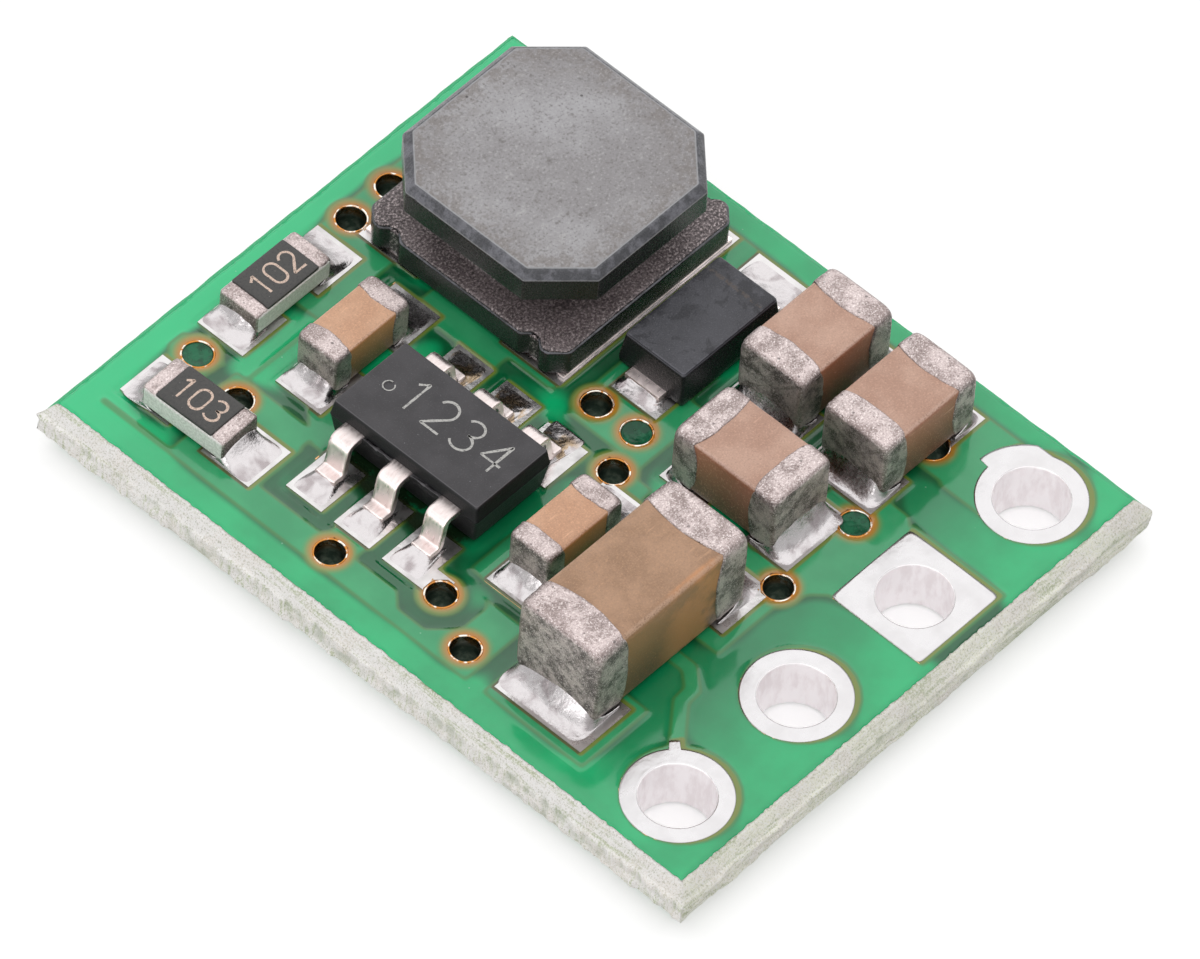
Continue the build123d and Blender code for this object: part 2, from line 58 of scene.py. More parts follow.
class Shade:
    """One output of a node in a material. Sums and products of it add the Math nodes that work them out."""

    def __init__(self, tree, socket=None):
        self.tree = tree
        self.socket = socket

    def node(self, kind, settings=None, values=None, out=0):
        """Any node: its settings first, then the values or links of its sockets, by name or number."""
        made = self.tree.nodes.new(kind)
        for name, value in (settings or {}).items():
            setattr(made, name, value)
        for name, value in (values or {}).items():
            if isinstance(value, Shade):
                self.tree.links.new(value.socket, made.inputs[name])
            else:
                made.inputs[name].default_value = value
        return Shade(self.tree, made.outputs[out] if made.outputs else None)

    def maths(self, operation, *terms):
        return self.node("ShaderNodeMath", {"operation": operation}, dict(enumerate(terms)))

    def __add__(self, other):
        return self.maths("ADD", self, other)

    def __sub__(self, other):
        return self.maths("SUBTRACT", self, other)

    def __rsub__(self, other):
        return self.maths("SUBTRACT", other, self)

    def __mul__(self, other):
        return self.maths("MULTIPLY", self, other)

    __radd__ = __add__
    __rmul__ = __mul__

    def power(self, exponent):
        return self.maths("POWER", self, exponent)

    def absolute(self):
        return self.maths("ABSOLUTE", self)

    def rise(self, low, high, to_low=0.0, to_high=1.0):
        """Goes smoothly from one level to another while this value goes from low to high."""
        return self.node("ShaderNodeMapRange", {"interpolation_type": "SMOOTHSTEP"},
                         {0: self, 1: low, 2: high, 3: to_low, 4: to_high})

    def rough(self, low, high):
        """A roughness that goes from low to high over the middle of this noise."""
        return self.rise(0.3, 0.7, low, high)

    def mix(self, off, on):
        """A colour between off and on, by this value."""
        colours = [value if isinstance(value, Shade) else (*value, 1) for value in (off, on)]
        return self.node("ShaderNodeMix", {"data_type": "RGBA"}, {0: self, 6: colours[0], 7: colours[1]}, 2)

    def coated(self, *coats):
        """This colour under thin coats, the lowest first: each is its share and its colour."""
        colour = self
        for share, coat in coats:
            colour = share.mix(colour, coat)
        return colour

    def place(self, stretch=(1, 1, 1)):
        """The object's own coordinates, stretched."""
        where = self.node("ShaderNodeTexCoord", out=3)
        return self.node("ShaderNodeMapping", values={"Vector": where, "Scale": stretch})

    def grain(self, per_mm, detail=3.0, rough=0.55, stretch=(1, 1, 1), warp=0.0):
        """Cloudy noise with so many cells to a millimetre."""
        return self.node("ShaderNodeTexNoise", values={
            "Vector": self.place(stretch), "Scale": per_mm / mm, "Detail": detail, "Roughness": rough,
            "Distortion": warp})

    def cells(self, per_mm):
        """The distance to the nearest of scattered points."""
        return self.node("ShaderNodeTexVoronoi", values={"Vector": self.place(), "Scale": per_mm / mm})

    def field(self, name):
        """A number kept with the mesh's points."""
        return self.node("ShaderNodeAttribute", {"attribute_name": name}, out=2)

    def height(self, axis=2):
        """One of the object's own coordinates, in mm."""
        return self.node("ShaderNodeSeparateXYZ", values={0: self.place()}, out=axis) * (1 / mm)


def material(look, name=None):
    """A Principled material, named after its look unless a name is given. look(shade) gives its
    colour, its roughness, its relief as (height, depth in mm), and other sockets by name."""
    made = bpy.data.materials.new(name or look.__name__)
    made.use_nodes = True
    made.node_tree.nodes.clear()
    shade = Shade(made.node_tree)
    colour, roughness, relief, *others = look(shade)
    sockets = {"Base Color": colour, "Roughness": roughness, **(others[0] if others else {})}
    if relief:
        sockets["Normal"] = shade.node("ShaderNodeBump", values={
            "Height": relief[0], "Strength": 1.0, "Distance": relief[1] * mm})
    surface = shade.node("ShaderNodeBsdfPrincipled", values=sockets)
    shade.node("ShaderNodeOutputMaterial", values={0: surface})
    return made


all_metal = {"Metallic": 1.0}


def new_object(name, data):
    """An object in the scene, at the origin."""
    made = bpy.data.objects.new(name, data)
    bpy.context.scene.collection.objects.link(made)
    return made


def patch(points, around=False, along=False, start=None, end=None, keep=None, **fields):
    """Faces over a grid of points, rows by columns: one for each cell of four neighbours.
    around joins the last column to the first and along the last row to the first; start and end
    are points that close the first and the last row with a fan. Fields are numbers for each point."""
    rows, columns = points.shape[:2]
    index = np.arange(rows * columns).reshape(rows, columns)
    ring = np.hstack([index, index[:, :1]]) if around else index
    if along:
        ring = np.vstack([ring, ring[:1]])
    cells = np.stack([ring[:-1, :-1], ring[:-1, 1:], ring[1:, 1:], ring[1:, :-1]], -1)
    cells = cells[keep] if keep is not None else cells.reshape(-1, 4)
    places = points.reshape(-1, 3)
    fans = []
    for pole, row, flip in ((start, ring[0], True), (end, ring[-1], False)):
        if pole is not None:
            tip = np.full(len(row) - 1, len(places))
            pair = (row[1:], row[:-1]) if flip else (row[:-1], row[1:])
            fans.append(np.stack([*pair, tip], -1))
            places = np.vstack([places, [pole]])
    poles = [row for row, pole in ((0, start), (-1, end)) if pole is not None]
    spread = {name: np.broadcast_to(value, (rows, columns)) for name, value in fields.items()}
    numbers = {name: np.concatenate([value.ravel(), value[poles, 0]]) for name, value in spread.items()}
    return places, cells, np.vstack(fans) if fans else np.zeros((0, 3), int), numbers


def piece(name, patches, finish, replaced=()):
    """One object from several patches, which rides on the board and stands for CAD nodes. Its field
    "up" is the height of each point's normal."""
    starts = np.cumsum([0] + [len(places) for places, *_ in patches])
    places = np.vstack([p[0] for p in patches])
    quads, fans = (np.vstack([p[kind] + start for p, start in zip(patches, starts)]) for kind in (1, 2))
    mesh = bpy.data.meshes.new(name)
    mesh.from_pydata((places * mm).tolist(), [], quads.tolist() + fans.tolist())
    mesh.polygons.foreach_set("use_smooth", np.ones(len(mesh.polygons), bool))
    normals = np.empty(len(places) * 3, np.float32)
    mesh.vertex_normals.foreach_get("vector", normals)
    fields = {key: np.concatenate([p[3][key] for p in patches]) for key in patches[0][3]}
    for key, values in {**fields, "up": normals[2::3]}.items():
        layer = mesh.attributes.new(key, "FLOAT", "POINT")
        layer.data.foreach_set("value", values.astype(np.float32))
    mesh.materials.append(finish)
    made = new_object(name, mesh)
    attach(made, "root")
    if replaced:
        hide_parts(*replaced)


def cloud(rows, columns, row_cells, column_cells, octaves=3, closed=False):
    """Random heights on a grid, from -1 to 1: each octave is a coarse random table, read between
    its entries with a smooth step, twice as fine and half as high as the one before."""
    total = np.zeros((rows, columns))
    for octave in range(octaves):
        tall, wide = int(row_cells * 2 ** octave) + 2, int(column_cells * 2 ** octave) + 2
        table = chance.uniform(-1, 1, (tall, wide))
        if closed:
            table[:, -1] = table[:, 0]
        v = np.linspace(0, tall - 1.001, rows)[:, None]
        u = np.linspace(0, wide - 1.001, columns)[None, :]
        i, j = v.astype(int), u.astype(int)
        a, b = v - i, u - j
        a, b = a * a * (3 - 2 * a), b * b * (3 - 2 * b)
        low = table[i, j] * (1 - b) + table[i, j + 1] * b
        high = table[i + 1, j] * (1 - b) + table[i + 1, j + 1] * b
        total += (low * (1 - a) + high * a) / 2 ** octave
    return total / 1.5


def board_path(spacing):
    """Points along the board's four sides, with the direction that points outwards; at a corner
    that direction is the sum of both sides'."""
    spots, outward = [], []
    corners = np.array([(-1, -1), (1, -1), (1, 1), (-1, 1)]) * board_half
    for start, end, normal in zip(corners, np.roll(corners, -1, 0), [(0, -1), (1, 0), (0, 1), (-1, 0)]):
        count = int(np.abs(end - start).sum() / spacing)
        along = np.linspace(0, 1, count, endpoint=False)[:, None]
        direction = np.tile(np.array(normal, float), (count, 1))
        direction[0] = np.sign(start)
        spots.append(start + (end - start) * along)
        outward.append(direction)
    return np.vstack(spots), np.vstack(outward)


def laminate_belt():
    """The board's edge: a profile of (height, reach) carried round the board. The web is pushed in
    and out by noise, finely upright along the long sides and in layers along the short ones."""
    spots, outward = board_path(0.036)
    high, low = laminate_high - 0.002, laminate_low + 0.002
    heights = np.concatenate([np.linspace(high, high - groove, 9),
                              np.linspace(high - groove, low + groove, 17)[1:],
                              np.linspace(low + groove, low, 8)[1:], [low + 0.03, high - 0.03]])
    reach = np.concatenate([np.linspace(-score_inset, 0, 9), np.zeros(16),
                            np.linspace(0, -score_inset, 8)[1:], [-0.55, -0.55]])
    torn = np.concatenate([np.linspace(0, 1, 9) ** 6, np.ones(16), np.linspace(1, 0, 8)[1:] ** 6, [0, 0]])
    torn = torn[:, None]
    rows, columns = len(heights), len(spots)
    long_side = np.abs(outward[:, 0]) >= 1
    upright = cloud(rows, columns, 2, columns / 3.2, 2, closed=True)
    broad = cloud(rows, columns, 3, columns / 26, 4, closed=True)
    layers = cloud(rows, columns, 14, columns / 20, 2, closed=True)
    rough = np.where(long_side, 0.55 * upright + 0.45 * broad, 0.25 * upright + 0.35 * broad + 0.5 * layers)
    rear = outward.sum(1) > 0.5
    cleaner = rear * np.where(outward[:, 0] > 0.5, 0.13, 0.10)
    push = torn * (web_reach + 0.075 * (rough - 0.75) - cleaner)
    push += 0.010 * cloud(rows, columns, 5, columns / 9, 2, closed=True) * (reach[:, None] > -0.5)
    push = np.minimum(push, web_reach)
    push[0] = -0.05
    points = np.empty((rows, columns, 3))
    points[..., :2] = spots * (1 + reach[:, None, None] / board_half) + outward * push[..., None]
    points[..., 2] = heights[:, None] + 0.02 * broad * torn
    coated = (heights > high - groove * 0.8)[:, None] * rear
    return patch(points[::-1], around=True, along=True, torn=torn[::-1], hollow=rough[::-1],
                 long_side=long_side, coated=coated[::-1])


@material
def glass_fibre_edge(shade):
    """Cream resin with pale glass bundles: upright ends on the torn web, level strands in the cut,
    and a green tint on the upper cut of the two rear sides."""
    torn, long_side = shade.field("torn"), shade.field("long_side")
    ends = shade.grain(14, 4, 0.65, (1, 1, 0.16))
    layers = shade.grain(9, 5, 0.7, (0.10, 0.10, 1.6), 0.4)
    fine, broad = shade.grain(34, 3, 0.75), shade.grain(1.6, 3)
    strands = (torn.rise(0.2, 0.8) * long_side).mix(layers, ends)
    pale = long_side.mix((0.95, 0.94, 0.80), (0.95, 0.92, 0.89))
    body = strands.rise(0.36, 0.52).mix((0.58, 0.62, 0.43), pale).coated(
        (broad.rise(0.44, 0.66) * 0.8, (0.90, 0.84, 0.78)),
        (fine.rise(0.48, 0.60) * 0.8, (0.97, 0.96, 0.94)),
        (fine.rise(0.47, 0.36) * 0.6, (0.40, 0.42, 0.31)),
        # painted shade: darker green-grey in the torn web's hollows
        (shade.field("hollow").rise(0.10, -0.75) * torn * 0.6, (0.34, 0.40, 0.27)))
    cut = shade.node("ShaderNodeHueSaturation", values={"Value": 0.90, "Color": body})
    body = shade.field("coated").mix(torn.rise(0.0, 0.6).mix(cut, body), (0.010, 0.420, 0.155))
    return body, 0.55, (strands + fine, 0.020), {"Specular IOR Level": 0.4}


piece("laminate_edge", [laminate_belt()], glass_fibre_edge, ["laminate"])


# Copper foil, etched to the circuit, and the plated tubes that join both sides. It lies under
# the lacquer and the tin, and only shows through them; on the back it is one wide pour.
def dress(finish, *names):
    """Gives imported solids, which stay as they are, the finish of what they are made of."""
    for name in names:
        nodes[name].data.materials.clear()
        nodes[name].data.materials.append(finish)


@material
def etched_copper(shade):
    """Etched copper, brushed unevenly and a little brown."""
    colour = shade.grain(2.5, 4).rise(0.35, 0.7).mix((0.62, 0.33, 0.15), (0.80, 0.50, 0.28))
    return colour, shade.grain(18, 2).rough(0.28, 0.45), (shade.grain(30, 2), 0.001), all_metal


dress(etched_copper, "copper_top", "copper_bottom")


# Green lacquer on the top face. It is printed over laminate and copper, dips where no copper lies
# under it, thins out over the edges of the copper, and leaves the lands, pin rings and vias bare.
cell = 0.040
pin_spots = [(-3.81, -5.08), (-1.27, -5.08), (1.27, -5.08), (3.81, -5.08)]
open_vias = [(-3.01, 4.31), (-4.10, 1.45), (-4.01, -1.13), (0.63, 5.46), (1.49, 5.46), (-0.12, -0.45),
             (0.63, 0.57), (0.0, -3.57), (3.50, -3.43), (-3.53, -0.21)]
filled_vias = [(-2.80, 5.31), (0.65, -0.20), (1.65, -3.57)]
via_spots = open_vias + filled_vias
via_radius = 0.225
via_cut = 0.252
pin_cut = 0.70
ring_edge = 0.385
mask_slip = 0.045
thin_lacquer = 0.028
never_nearest = 99.0


def top_rim(node, level):
    """The edges of a CAD plate's top face: the sides at that level of its upright triangles."""
    mesh = nodes[node].data
    places = np.empty(len(mesh.vertices) * 3, np.float32)
    mesh.vertices.foreach_get("co", places)
    places = places.reshape(-1, 3).astype(float) / mm
    corners = np.empty(len(mesh.loops), np.int32)
    mesh.loops.foreach_get("vertex_index", corners)
    triangles = places[corners.reshape(-1, 3)]
    across = np.cross(triangles[:, 1] - triangles[:, 0], triangles[:, 2] - triangles[:, 0])
    upright = triangles[np.abs(across[:, 2]) < 1e-3 * np.linalg.norm(across, axis=1)]
    sides = np.stack([upright, np.roll(upright, -1, 1)], 2).reshape(-1, 2, 3)
    at_level = np.all(np.abs(sides[:, :, 2] - level) < 1e-3, axis=1)
    return sides[at_level][:, :, :2]


def edge_distance(spots, rim, left_out=0):
    """Distance from each spot to the nearest rim edge, positive inside the outline: a spot is
    inside when a line from it towards +X crosses the rim an odd number of times. Edges that are
    left out count for the crossings and not for the distance."""
    start, end = rim[:, 0], rim[:, 1]
    run = end - start
    length = np.maximum((run ** 2).sum(1), 1e-12)
    rise = np.where(np.abs(run[:, 1]) < 1e-12, 1e-12, run[:, 1])
    found = []
    for some in np.array_split(spots, 60):
        offset = some[:, None] - start
        along = np.clip((offset * run).sum(2) / length, 0, 1)
        away = np.sqrt(((offset - along[..., None] * run) ** 2).sum(2))
        near = (away + left_out * never_nearest).min(1)
        above = (start[:, 1] > some[:, 1, None]) != (end[:, 1] > some[:, 1, None])
        crossing = start[:, 0] + (some[:, 1, None] - start[:, 1]) * (run[:, 0] / rise)
        inside = (above & (crossing > some[:, 0, None])).sum(1) % 2 == 1
        found.append(np.where(inside, near, -near))
    return np.concatenate(found)


def step(value, low, high):
    """A smooth rise from 0 to 1."""
    t = np.clip((value - low) / (high - low), 0, 1)
    return t * t * (3 - 2 * t)


def softened(values):
    """Each value averaged with its four neighbours."""
    wide = np.pad(values, 1, mode="edge")
    return (2 * values + wide[:-2, 1:-1] + wide[2:, 1:-1] + wide[1:-1, :-2] + wide[1:-1, 2:]) / 6


def lacquer_top():
    """A sheet over the whole top face. Its height is the laminate's plus the lacquer's, plus the
    copper's step under it, and falls to nothing at the bare places. Grid points next to a pin
    hole or a via are drawn onto its circle, and the cells inside the circle are left out. The
    field crowd is the share of copper round about."""
    low, high = [np.array((corner / mm)[:2]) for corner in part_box("mask_top")]
    xs, ys = (np.linspace(low[axis], high[axis], int((high[axis] - low[axis]) / cell)) for axis in (0, 1))
    grid = np.stack(np.meshgrid(xs, ys), -1)
    keep = np.ones((len(ys) - 1, len(xs) - 1), bool)
    middle = (grid[:-1, :-1] + grid[1:, 1:]) / 2
    for spots, radius in ((pin_spots, pin_cut), (via_spots, via_cut)):
        for spot in spots:
            away = grid - spot
            far = np.linalg.norm(away, axis=2)
            near = np.abs(far - radius) < cell * 0.62
            grid[near] = spot + away[near] / far[near][:, None] * radius
            keep &= np.linalg.norm(middle - spot, axis=2) > radius
    flat = grid.reshape(-1, 2)
    to_via = np.min([np.linalg.norm(grid - spot, axis=2) for spot in via_spots], 0)
    copper = edge_distance(flat, top_rim("copper_top", copper_high)).reshape(to_via.shape)
    copper = softened(softened(np.maximum(copper, ring_edge - to_via)))
    openings = top_rim("mask_top", mask_high)
    round_via = np.linalg.norm(openings[:, :, None] - np.array(via_spots), axis=3).max(1).min(1) < 0.33
    cover = edge_distance(flat, openings, round_via).reshape(to_via.shape)
    cover = np.where((to_via < 0.30) & (np.abs(cover) > 0.12), np.abs(cover), cover)
    cover = np.minimum(cover, to_via - via_cut)
    crowd = 1.0 * (copper > 0)
    for _ in range(110):
        crowd = softened(crowd)
    slope = np.gradient(cover, ys, xs)
    slipped = softened(cover - mask_slip * (slope[1] - slope[0]))
    thick = thin_lacquer + (mask_high - laminate_high - thin_lacquer) * step(copper, -0.075, 0.055)
    waves = 0.0012 * cloud(*copper.shape, len(ys) * cell * 1.4, len(xs) * cell * 1.4, 2)
    under = (copper_high + 0.003 - laminate_high) * step(copper, -0.03, 0.0)
    height = laminate_high + under + (thick - under) * step(cover, -0.012, 0.05) + waves * step(cover, 0, 0.1)
    border = np.minimum(flat - low, high - flat).min(1).reshape(copper.shape)
    height = np.clip(height - 0.02 * (1 - step(border, 0, 0.03)), laminate_high - 0.004, mask_high)
    for row, column, axis, inwards in ((0, slice(None), 1, 1), (-1, slice(None), 1, -1),
                                       (slice(None), 0, 0, 1), (slice(None), -1, 0, -1)):
        count = len(grid[row, column])
        ragged = 0.030 * np.abs(cloud(1, count, 1, count / 2.5, 2)[0])
        grid[row, column, axis] += inwards * ragged
    return patch(np.dstack([grid, height]), keep=keep, copper=copper, cover=cover, slipped=slipped,
                 crowd=crowd, rim=to_via - via_cut)


@material
def green_lacquer(shade):
    """Clear green resin: bright where it lies on wide laminate, with painted light that makes it paler
    towards the rear edge, and painted shade that deepens it in the narrow channels among the copper, in
    front between the parts and the pins and round the regulator's case; near-black flux and painted
    shadow lie between the regulator's left leads. It is duller over copper, olive where it is thin at
    the copper's edges and one side of each opening, and orange round the vias, where it runs out over
    the copper."""
    copper, cover, rim = (shade.field(name) for name in ("copper", "cover", "rim"))
    x, y = shade.height(0), shade.height(1)
    over = copper.rise(-0.03, 0.04)
    mottle = shade.grain(1.1, 4, 0.5).rise(0.3, 0.7)
    # painted shade: the lacquer in narrow channels among the copper, darker than on wide laminate
    shaded_gap = mottle.mix((0.003, 0.080, 0.026), (0.005, 0.125, 0.042))
    # painted light: paler towards the rear edge; painted shade in front between the parts and the pins
    shaded = y.rise(-5.8, -3.9) * y.rise(-2.6, -3.4) * x.rise(-4.6, -3.6) * x.rise(5.0, 3.8)
    wide = mottle.mix((0.004, 0.340, 0.120), (0.006, 0.430, 0.155)).coated(
        (y.rise(3.6, 6.0) * 0.8, (0.010, 0.530, 0.205)),
        (shaded * 0.62, (0.004, 0.120, 0.044)))
    plated = mottle.mix((0.016, 0.275, 0.103), (0.030, 0.345, 0.134))
    ridge = 1 - (copper - 0.01).absolute().rise(0.0, 0.050)
    crescent = (1 - shade.field("slipped").rise(-0.01, 0.045)) * over
    glow = 1 - rim.rise(-0.03, 0.16)
    # painted shadow round the regulator's case
    case_shadow = y.rise(-0.45, -0.05) * y.rise(2.95, 2.65) * x.rise(-3.15, -2.80) * x.rise(-0.45, -0.90)
    # near-black flux and painted shadow between the regulator's left leads
    flux = y.rise(0.05, 0.30) * y.rise(2.75, 2.50) * x.rise(-3.10, -2.85) * x.rise(-2.2, -2.4)
    flux = flux * shade.grain(3.4, 4, 0.6).rise(0.36, 0.50)
    body = over.mix(shade.field("crowd").rise(0.56, 0.34).mix(shaded_gap, wide), plated).coated(
        (ridge * 0.60, (0.062, 0.175, 0.036)),
        (crescent * 0.85, (0.190, 0.195, 0.022)),
        ((1 - rim.rise(0.07, 0.20)) * 0.40, (0.230, 0.210, 0.022)),
        (glow.power(1.2) * 0.92, (0.560, 0.185, 0.020)),
        ((1 - cover.rise(-0.02, 0.012)) * over * (1 - glow), (0.085, 0.090, 0.030)),
        (case_shadow * 0.62, (0.003, 0.060, 0.022)),
        (flux * 0.9, (0.012, 0.014, 0.006)),
        (shade.cells(2.2).rise(0.035, 0.02) * 0.5, (0.25, 0.52, 0.36)))
    return body, shade.grain(3.0, 4).rise(0.3, 0.75, 0.08, 0.17), (shade.grain(0.9, 2), 0.012), {"IOR": 1.52}


piece("lacquer_top", [lacquer_top()], green_lacquer, ["mask_top"])


# Green lacquer on the back: a level coat over one wide copper pour, open round the pin holes
# and the vias, so the board can lie flat.
@material
def green_lacquer_back(shade):
    """The same green resin, mottled, with fine dust in it."""
    body = shade.grain(1.3, 4, 0.5).rise(0.3, 0.7).mix((0.010, 0.280, 0.098), (0.020, 0.340, 0.125))
    body = (shade.cells(2.2).rise(0.035, 0.02) * 0.5).mix(body, (0.10, 0.34, 0.19))
    return body, shade.grain(3, 3).rough(0.12, 0.24), (shade.grain(1.1, 2), 0.006), {"IOR": 1.55}


dress(green_lacquer_back, "mask_bottom")


# Tin on the bare lands. The copper was dipped and levelled with hot air, which leaves a bright,
# slightly domed skin with a crystal pattern and small dull patches.
@material
def levelled_tin(shade):
    """Bright tin with crystal grains and dull patches."""
    patches = shade.grain(2.2, 4)
    colour = patches.rise(0.40, 0.72).mix((0.48, 0.468, 0.465), (0.40, 0.388, 0.385))
    return colour, patches.rough(0.22, 0.40), (shade.cells(5.0) + shade.grain(14, 2), 0.004), all_metal


dress(levelled_tin, "land_tinning")


# Pin holes: plated barrels, flared at both mouths into bare rings. The third ring is square, the
# first has a neck towards its track and the last runs into a wider corner.
pin_radius = 0.57
ring_radius = 0.84
square_half = 0.86
flare = 0.035


def circle(count):
    """Angles evenly round a circle."""
    return np.linspace(0, 2 * np.pi, count, endpoint=False)


def turned(spot, radii, heights):
    """A surface round an upright line through a spot: one row of points for each row of radii."""
    angle = circle(radii.shape[1])
    return np.dstack([spot[0] + radii * np.cos(angle), spot[1] + radii * np.sin(angle),
                      np.broadcast_to(heights, radii.shape)])


def ring_reach(index, angle):
    """How far the bare ring reaches from the hole's middle in each direction."""
    across, up = np.cos(angle), np.sin(angle)
    reach = np.full(angle.shape, ring_radius)
    if index == 2:
        reach = 1 / (np.abs(across / square_half) ** 26 + np.abs(up / square_half) ** 26) ** (1 / 26)
    if index == 0:
        sideways = np.abs(across - up) / np.sqrt(2)
        forward = across + up
        reach += 0.15 * (1 - step(sideways, 0.075, 0.105)) * (forward > 0)
    if index == 3:
        wide = (-0.03 * across + 0.04 * up) + np.sqrt(0.98 ** 2 - (0.03 * up + 0.04 * across) ** 2)
        side = 0.79 / np.maximum(across, 0.05)
        corner = (across > 0) & (up > 0)
        reach = np.where(corner, np.maximum(reach, np.minimum(wide, side)), reach)
    return reach


def pin_ring(index):
    """The barrel and both rings: a profile of (radius, height, share of the way to the ring's rim)
    carried round the hole."""
    columns = 240
    low, high = 0.006, land_high
    turn = np.linspace(0, np.pi / 2, 7)
    share = np.linspace(0, 1, 11)[1:]
    domed = 0.004 * np.sin(share * np.pi)
    rise = list(high - flare * (1 - np.sin(turn))) + list(high + 0 * share - 0.003 + domed * 0.7)
    reach_share = [0] * 7 + list(share)
    bore = list(pin_radius + flare * (1 - np.cos(turn))) + [pin_radius + flare] * 10
    heights = np.array([high - 0.03] + rise[::-1] + list(np.linspace(high - flare, low + flare, 16)[1:-1])
                       + list(low + high - np.array(rise)) + [low + 0.02])
    shares = np.array([1.004] + reach_share[::-1] + [0] * 14 + reach_share + [1.0])
    radii = np.array([pin_radius + flare] + bore[::-1] + [pin_radius] * 14 + bore + [pin_radius + flare])
    reach = radii[:, None] + (ring_reach(index, circle(columns)) - radii[:, None]) * shares[:, None]
    inside = np.broadcast_to((radii < pin_radius + 0.012)[:, None], reach.shape)
    dents = 0.004 * cloud(len(heights), columns, 5, 14, 2, closed=True) * inside
    return patch(turned(pin_spots[index], reach + dents, heights[:, None]), around=True, along=True,
                 inner=inside)


@material
def plated_ring(shade):
    """Levelled tin, smooth on the rings and streaked along the barrel."""
    inner = shade.field("inner")
    streaks = shade.grain(6, 4, 0.6, (1, 1, 0.35))
    patches = shade.grain(2.6, 4)
    ring = patches.rise(0.35, 0.75).mix((0.48, 0.470, 0.475), (0.45, 0.438, 0.442))
    wall = streaks.rise(0.38, 0.66).mix((0.99, 0.96, 0.97), (0.88, 0.83, 0.84))
    roughness = inner.rise(0.3, 0.8, 0.24, 0.42) + patches.rough(0, 0.10)
    relief = (inner.mix(shade.grain(9, 2), streaks), 0.006)
    return inner.mix(ring, wall), roughness, relief, {"Metallic": inner.rise(0.3, 0.8, 1.0, 0.55)}


for index in range(4):
    piece(f"pin_ring_{index + 1}", [pin_ring(index)], plated_ring, [f"pin_hole_plating_{index + 1}"])


# Vias: thin plated tubes through the board, each with a narrow bright lip that stands just out
# of the lacquer. Three of them are filled with green resin.
def via_tube(spot):
    """The tube's wall and its rolled lips, as a profile of (radius, height) carried round the hole."""
    turn = np.linspace(0, np.pi, 9)
    lip = 0.020
    middle = via_radius + lip
    radii = np.concatenate([[middle + lip], middle - lip * np.cos(turn[::-1]), np.full(12, via_radius),
                            middle - lip * np.cos(turn), [middle + lip]])
    top, low = land_high - lip, 0.008 + lip
    wall = np.linspace(top - 0.02, low + 0.02, 12)
    heights = np.concatenate([[top - 0.03], top + lip * np.sin(turn[::-1]), wall, low - lip * np.sin(turn),
                              [low + 0.03]])
    wobble = 0.006 * cloud(len(radii), 48, 4, 7, 2, closed=True)
    return patch(turned(spot, radii[:, None] + wobble, heights[:, None]), around=True, along=True)


@material
def via_wall(shade):
    """Tin over copper: a bright lip, and painted shade that darkens the tube to green-grey further down."""
    # painted shade, deeper down the tube
    depth = shade.height().rise(0.90, 0.70)
    stain = shade.grain(7, 3)
    wall = stain.rise(0.4, 0.7).mix((0.040, 0.075, 0.050), (0.16, 0.20, 0.15))
    lip = stain.rise(0.40, 0.54).mix((0.66, 0.62, 0.55), (0.40, 0.17, 0.04))
    return depth.mix(lip, wall), 0.22 + 0.2 * depth, (shade.grain(16, 2), 0.004), all_metal


def plug(spot):
    """A dished disc with a small pit and a matching underside."""
    columns = 40
    low, top = (corner.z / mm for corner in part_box("via_plugs"))
    share = np.concatenate([np.linspace(0.06, 1, 12), np.linspace(1, 0.1, 6)])[:, None]
    dish = top - 0.030 * (1 - share[:12] ** 2) + 0.01 * share[:12] ** 6
    heights = np.vstack([dish, np.full((6, 1), low)])
    heights = heights + 0.006 * cloud(18, columns, 5, 6, 2, closed=True) * (share < 0.9)
    points = turned(spot, via_radius * 0.995 * share * np.ones(columns), heights)
    return patch(points[::-1], around=True, start=(*spot, low), end=(*spot, top - 0.03))


@material
def green_filler(shade):
    """Dark green filler, cloudy, with a few pale specks."""
    clouds = shade.grain(5, 3)
    specks = shade.cells(11).rise(0.16, 0.08)
    body = clouds.rise(0.35, 0.65).mix((0.004, 0.060, 0.026), (0.010, 0.130, 0.058))
    body = (specks * 0.4).mix(body, (0.20, 0.34, 0.22))
    return body, clouds.rough(0.15, 0.35), (clouds + specks, 0.012), {"Specular IOR Level": 0.25}


piece("via_tubes", [via_tube(spot) for spot in via_spots], via_wall, ["via_barrels"])
piece("via_fillers", [plug(spot) for spot in filled_vias], green_filler, ["via_plugs"])


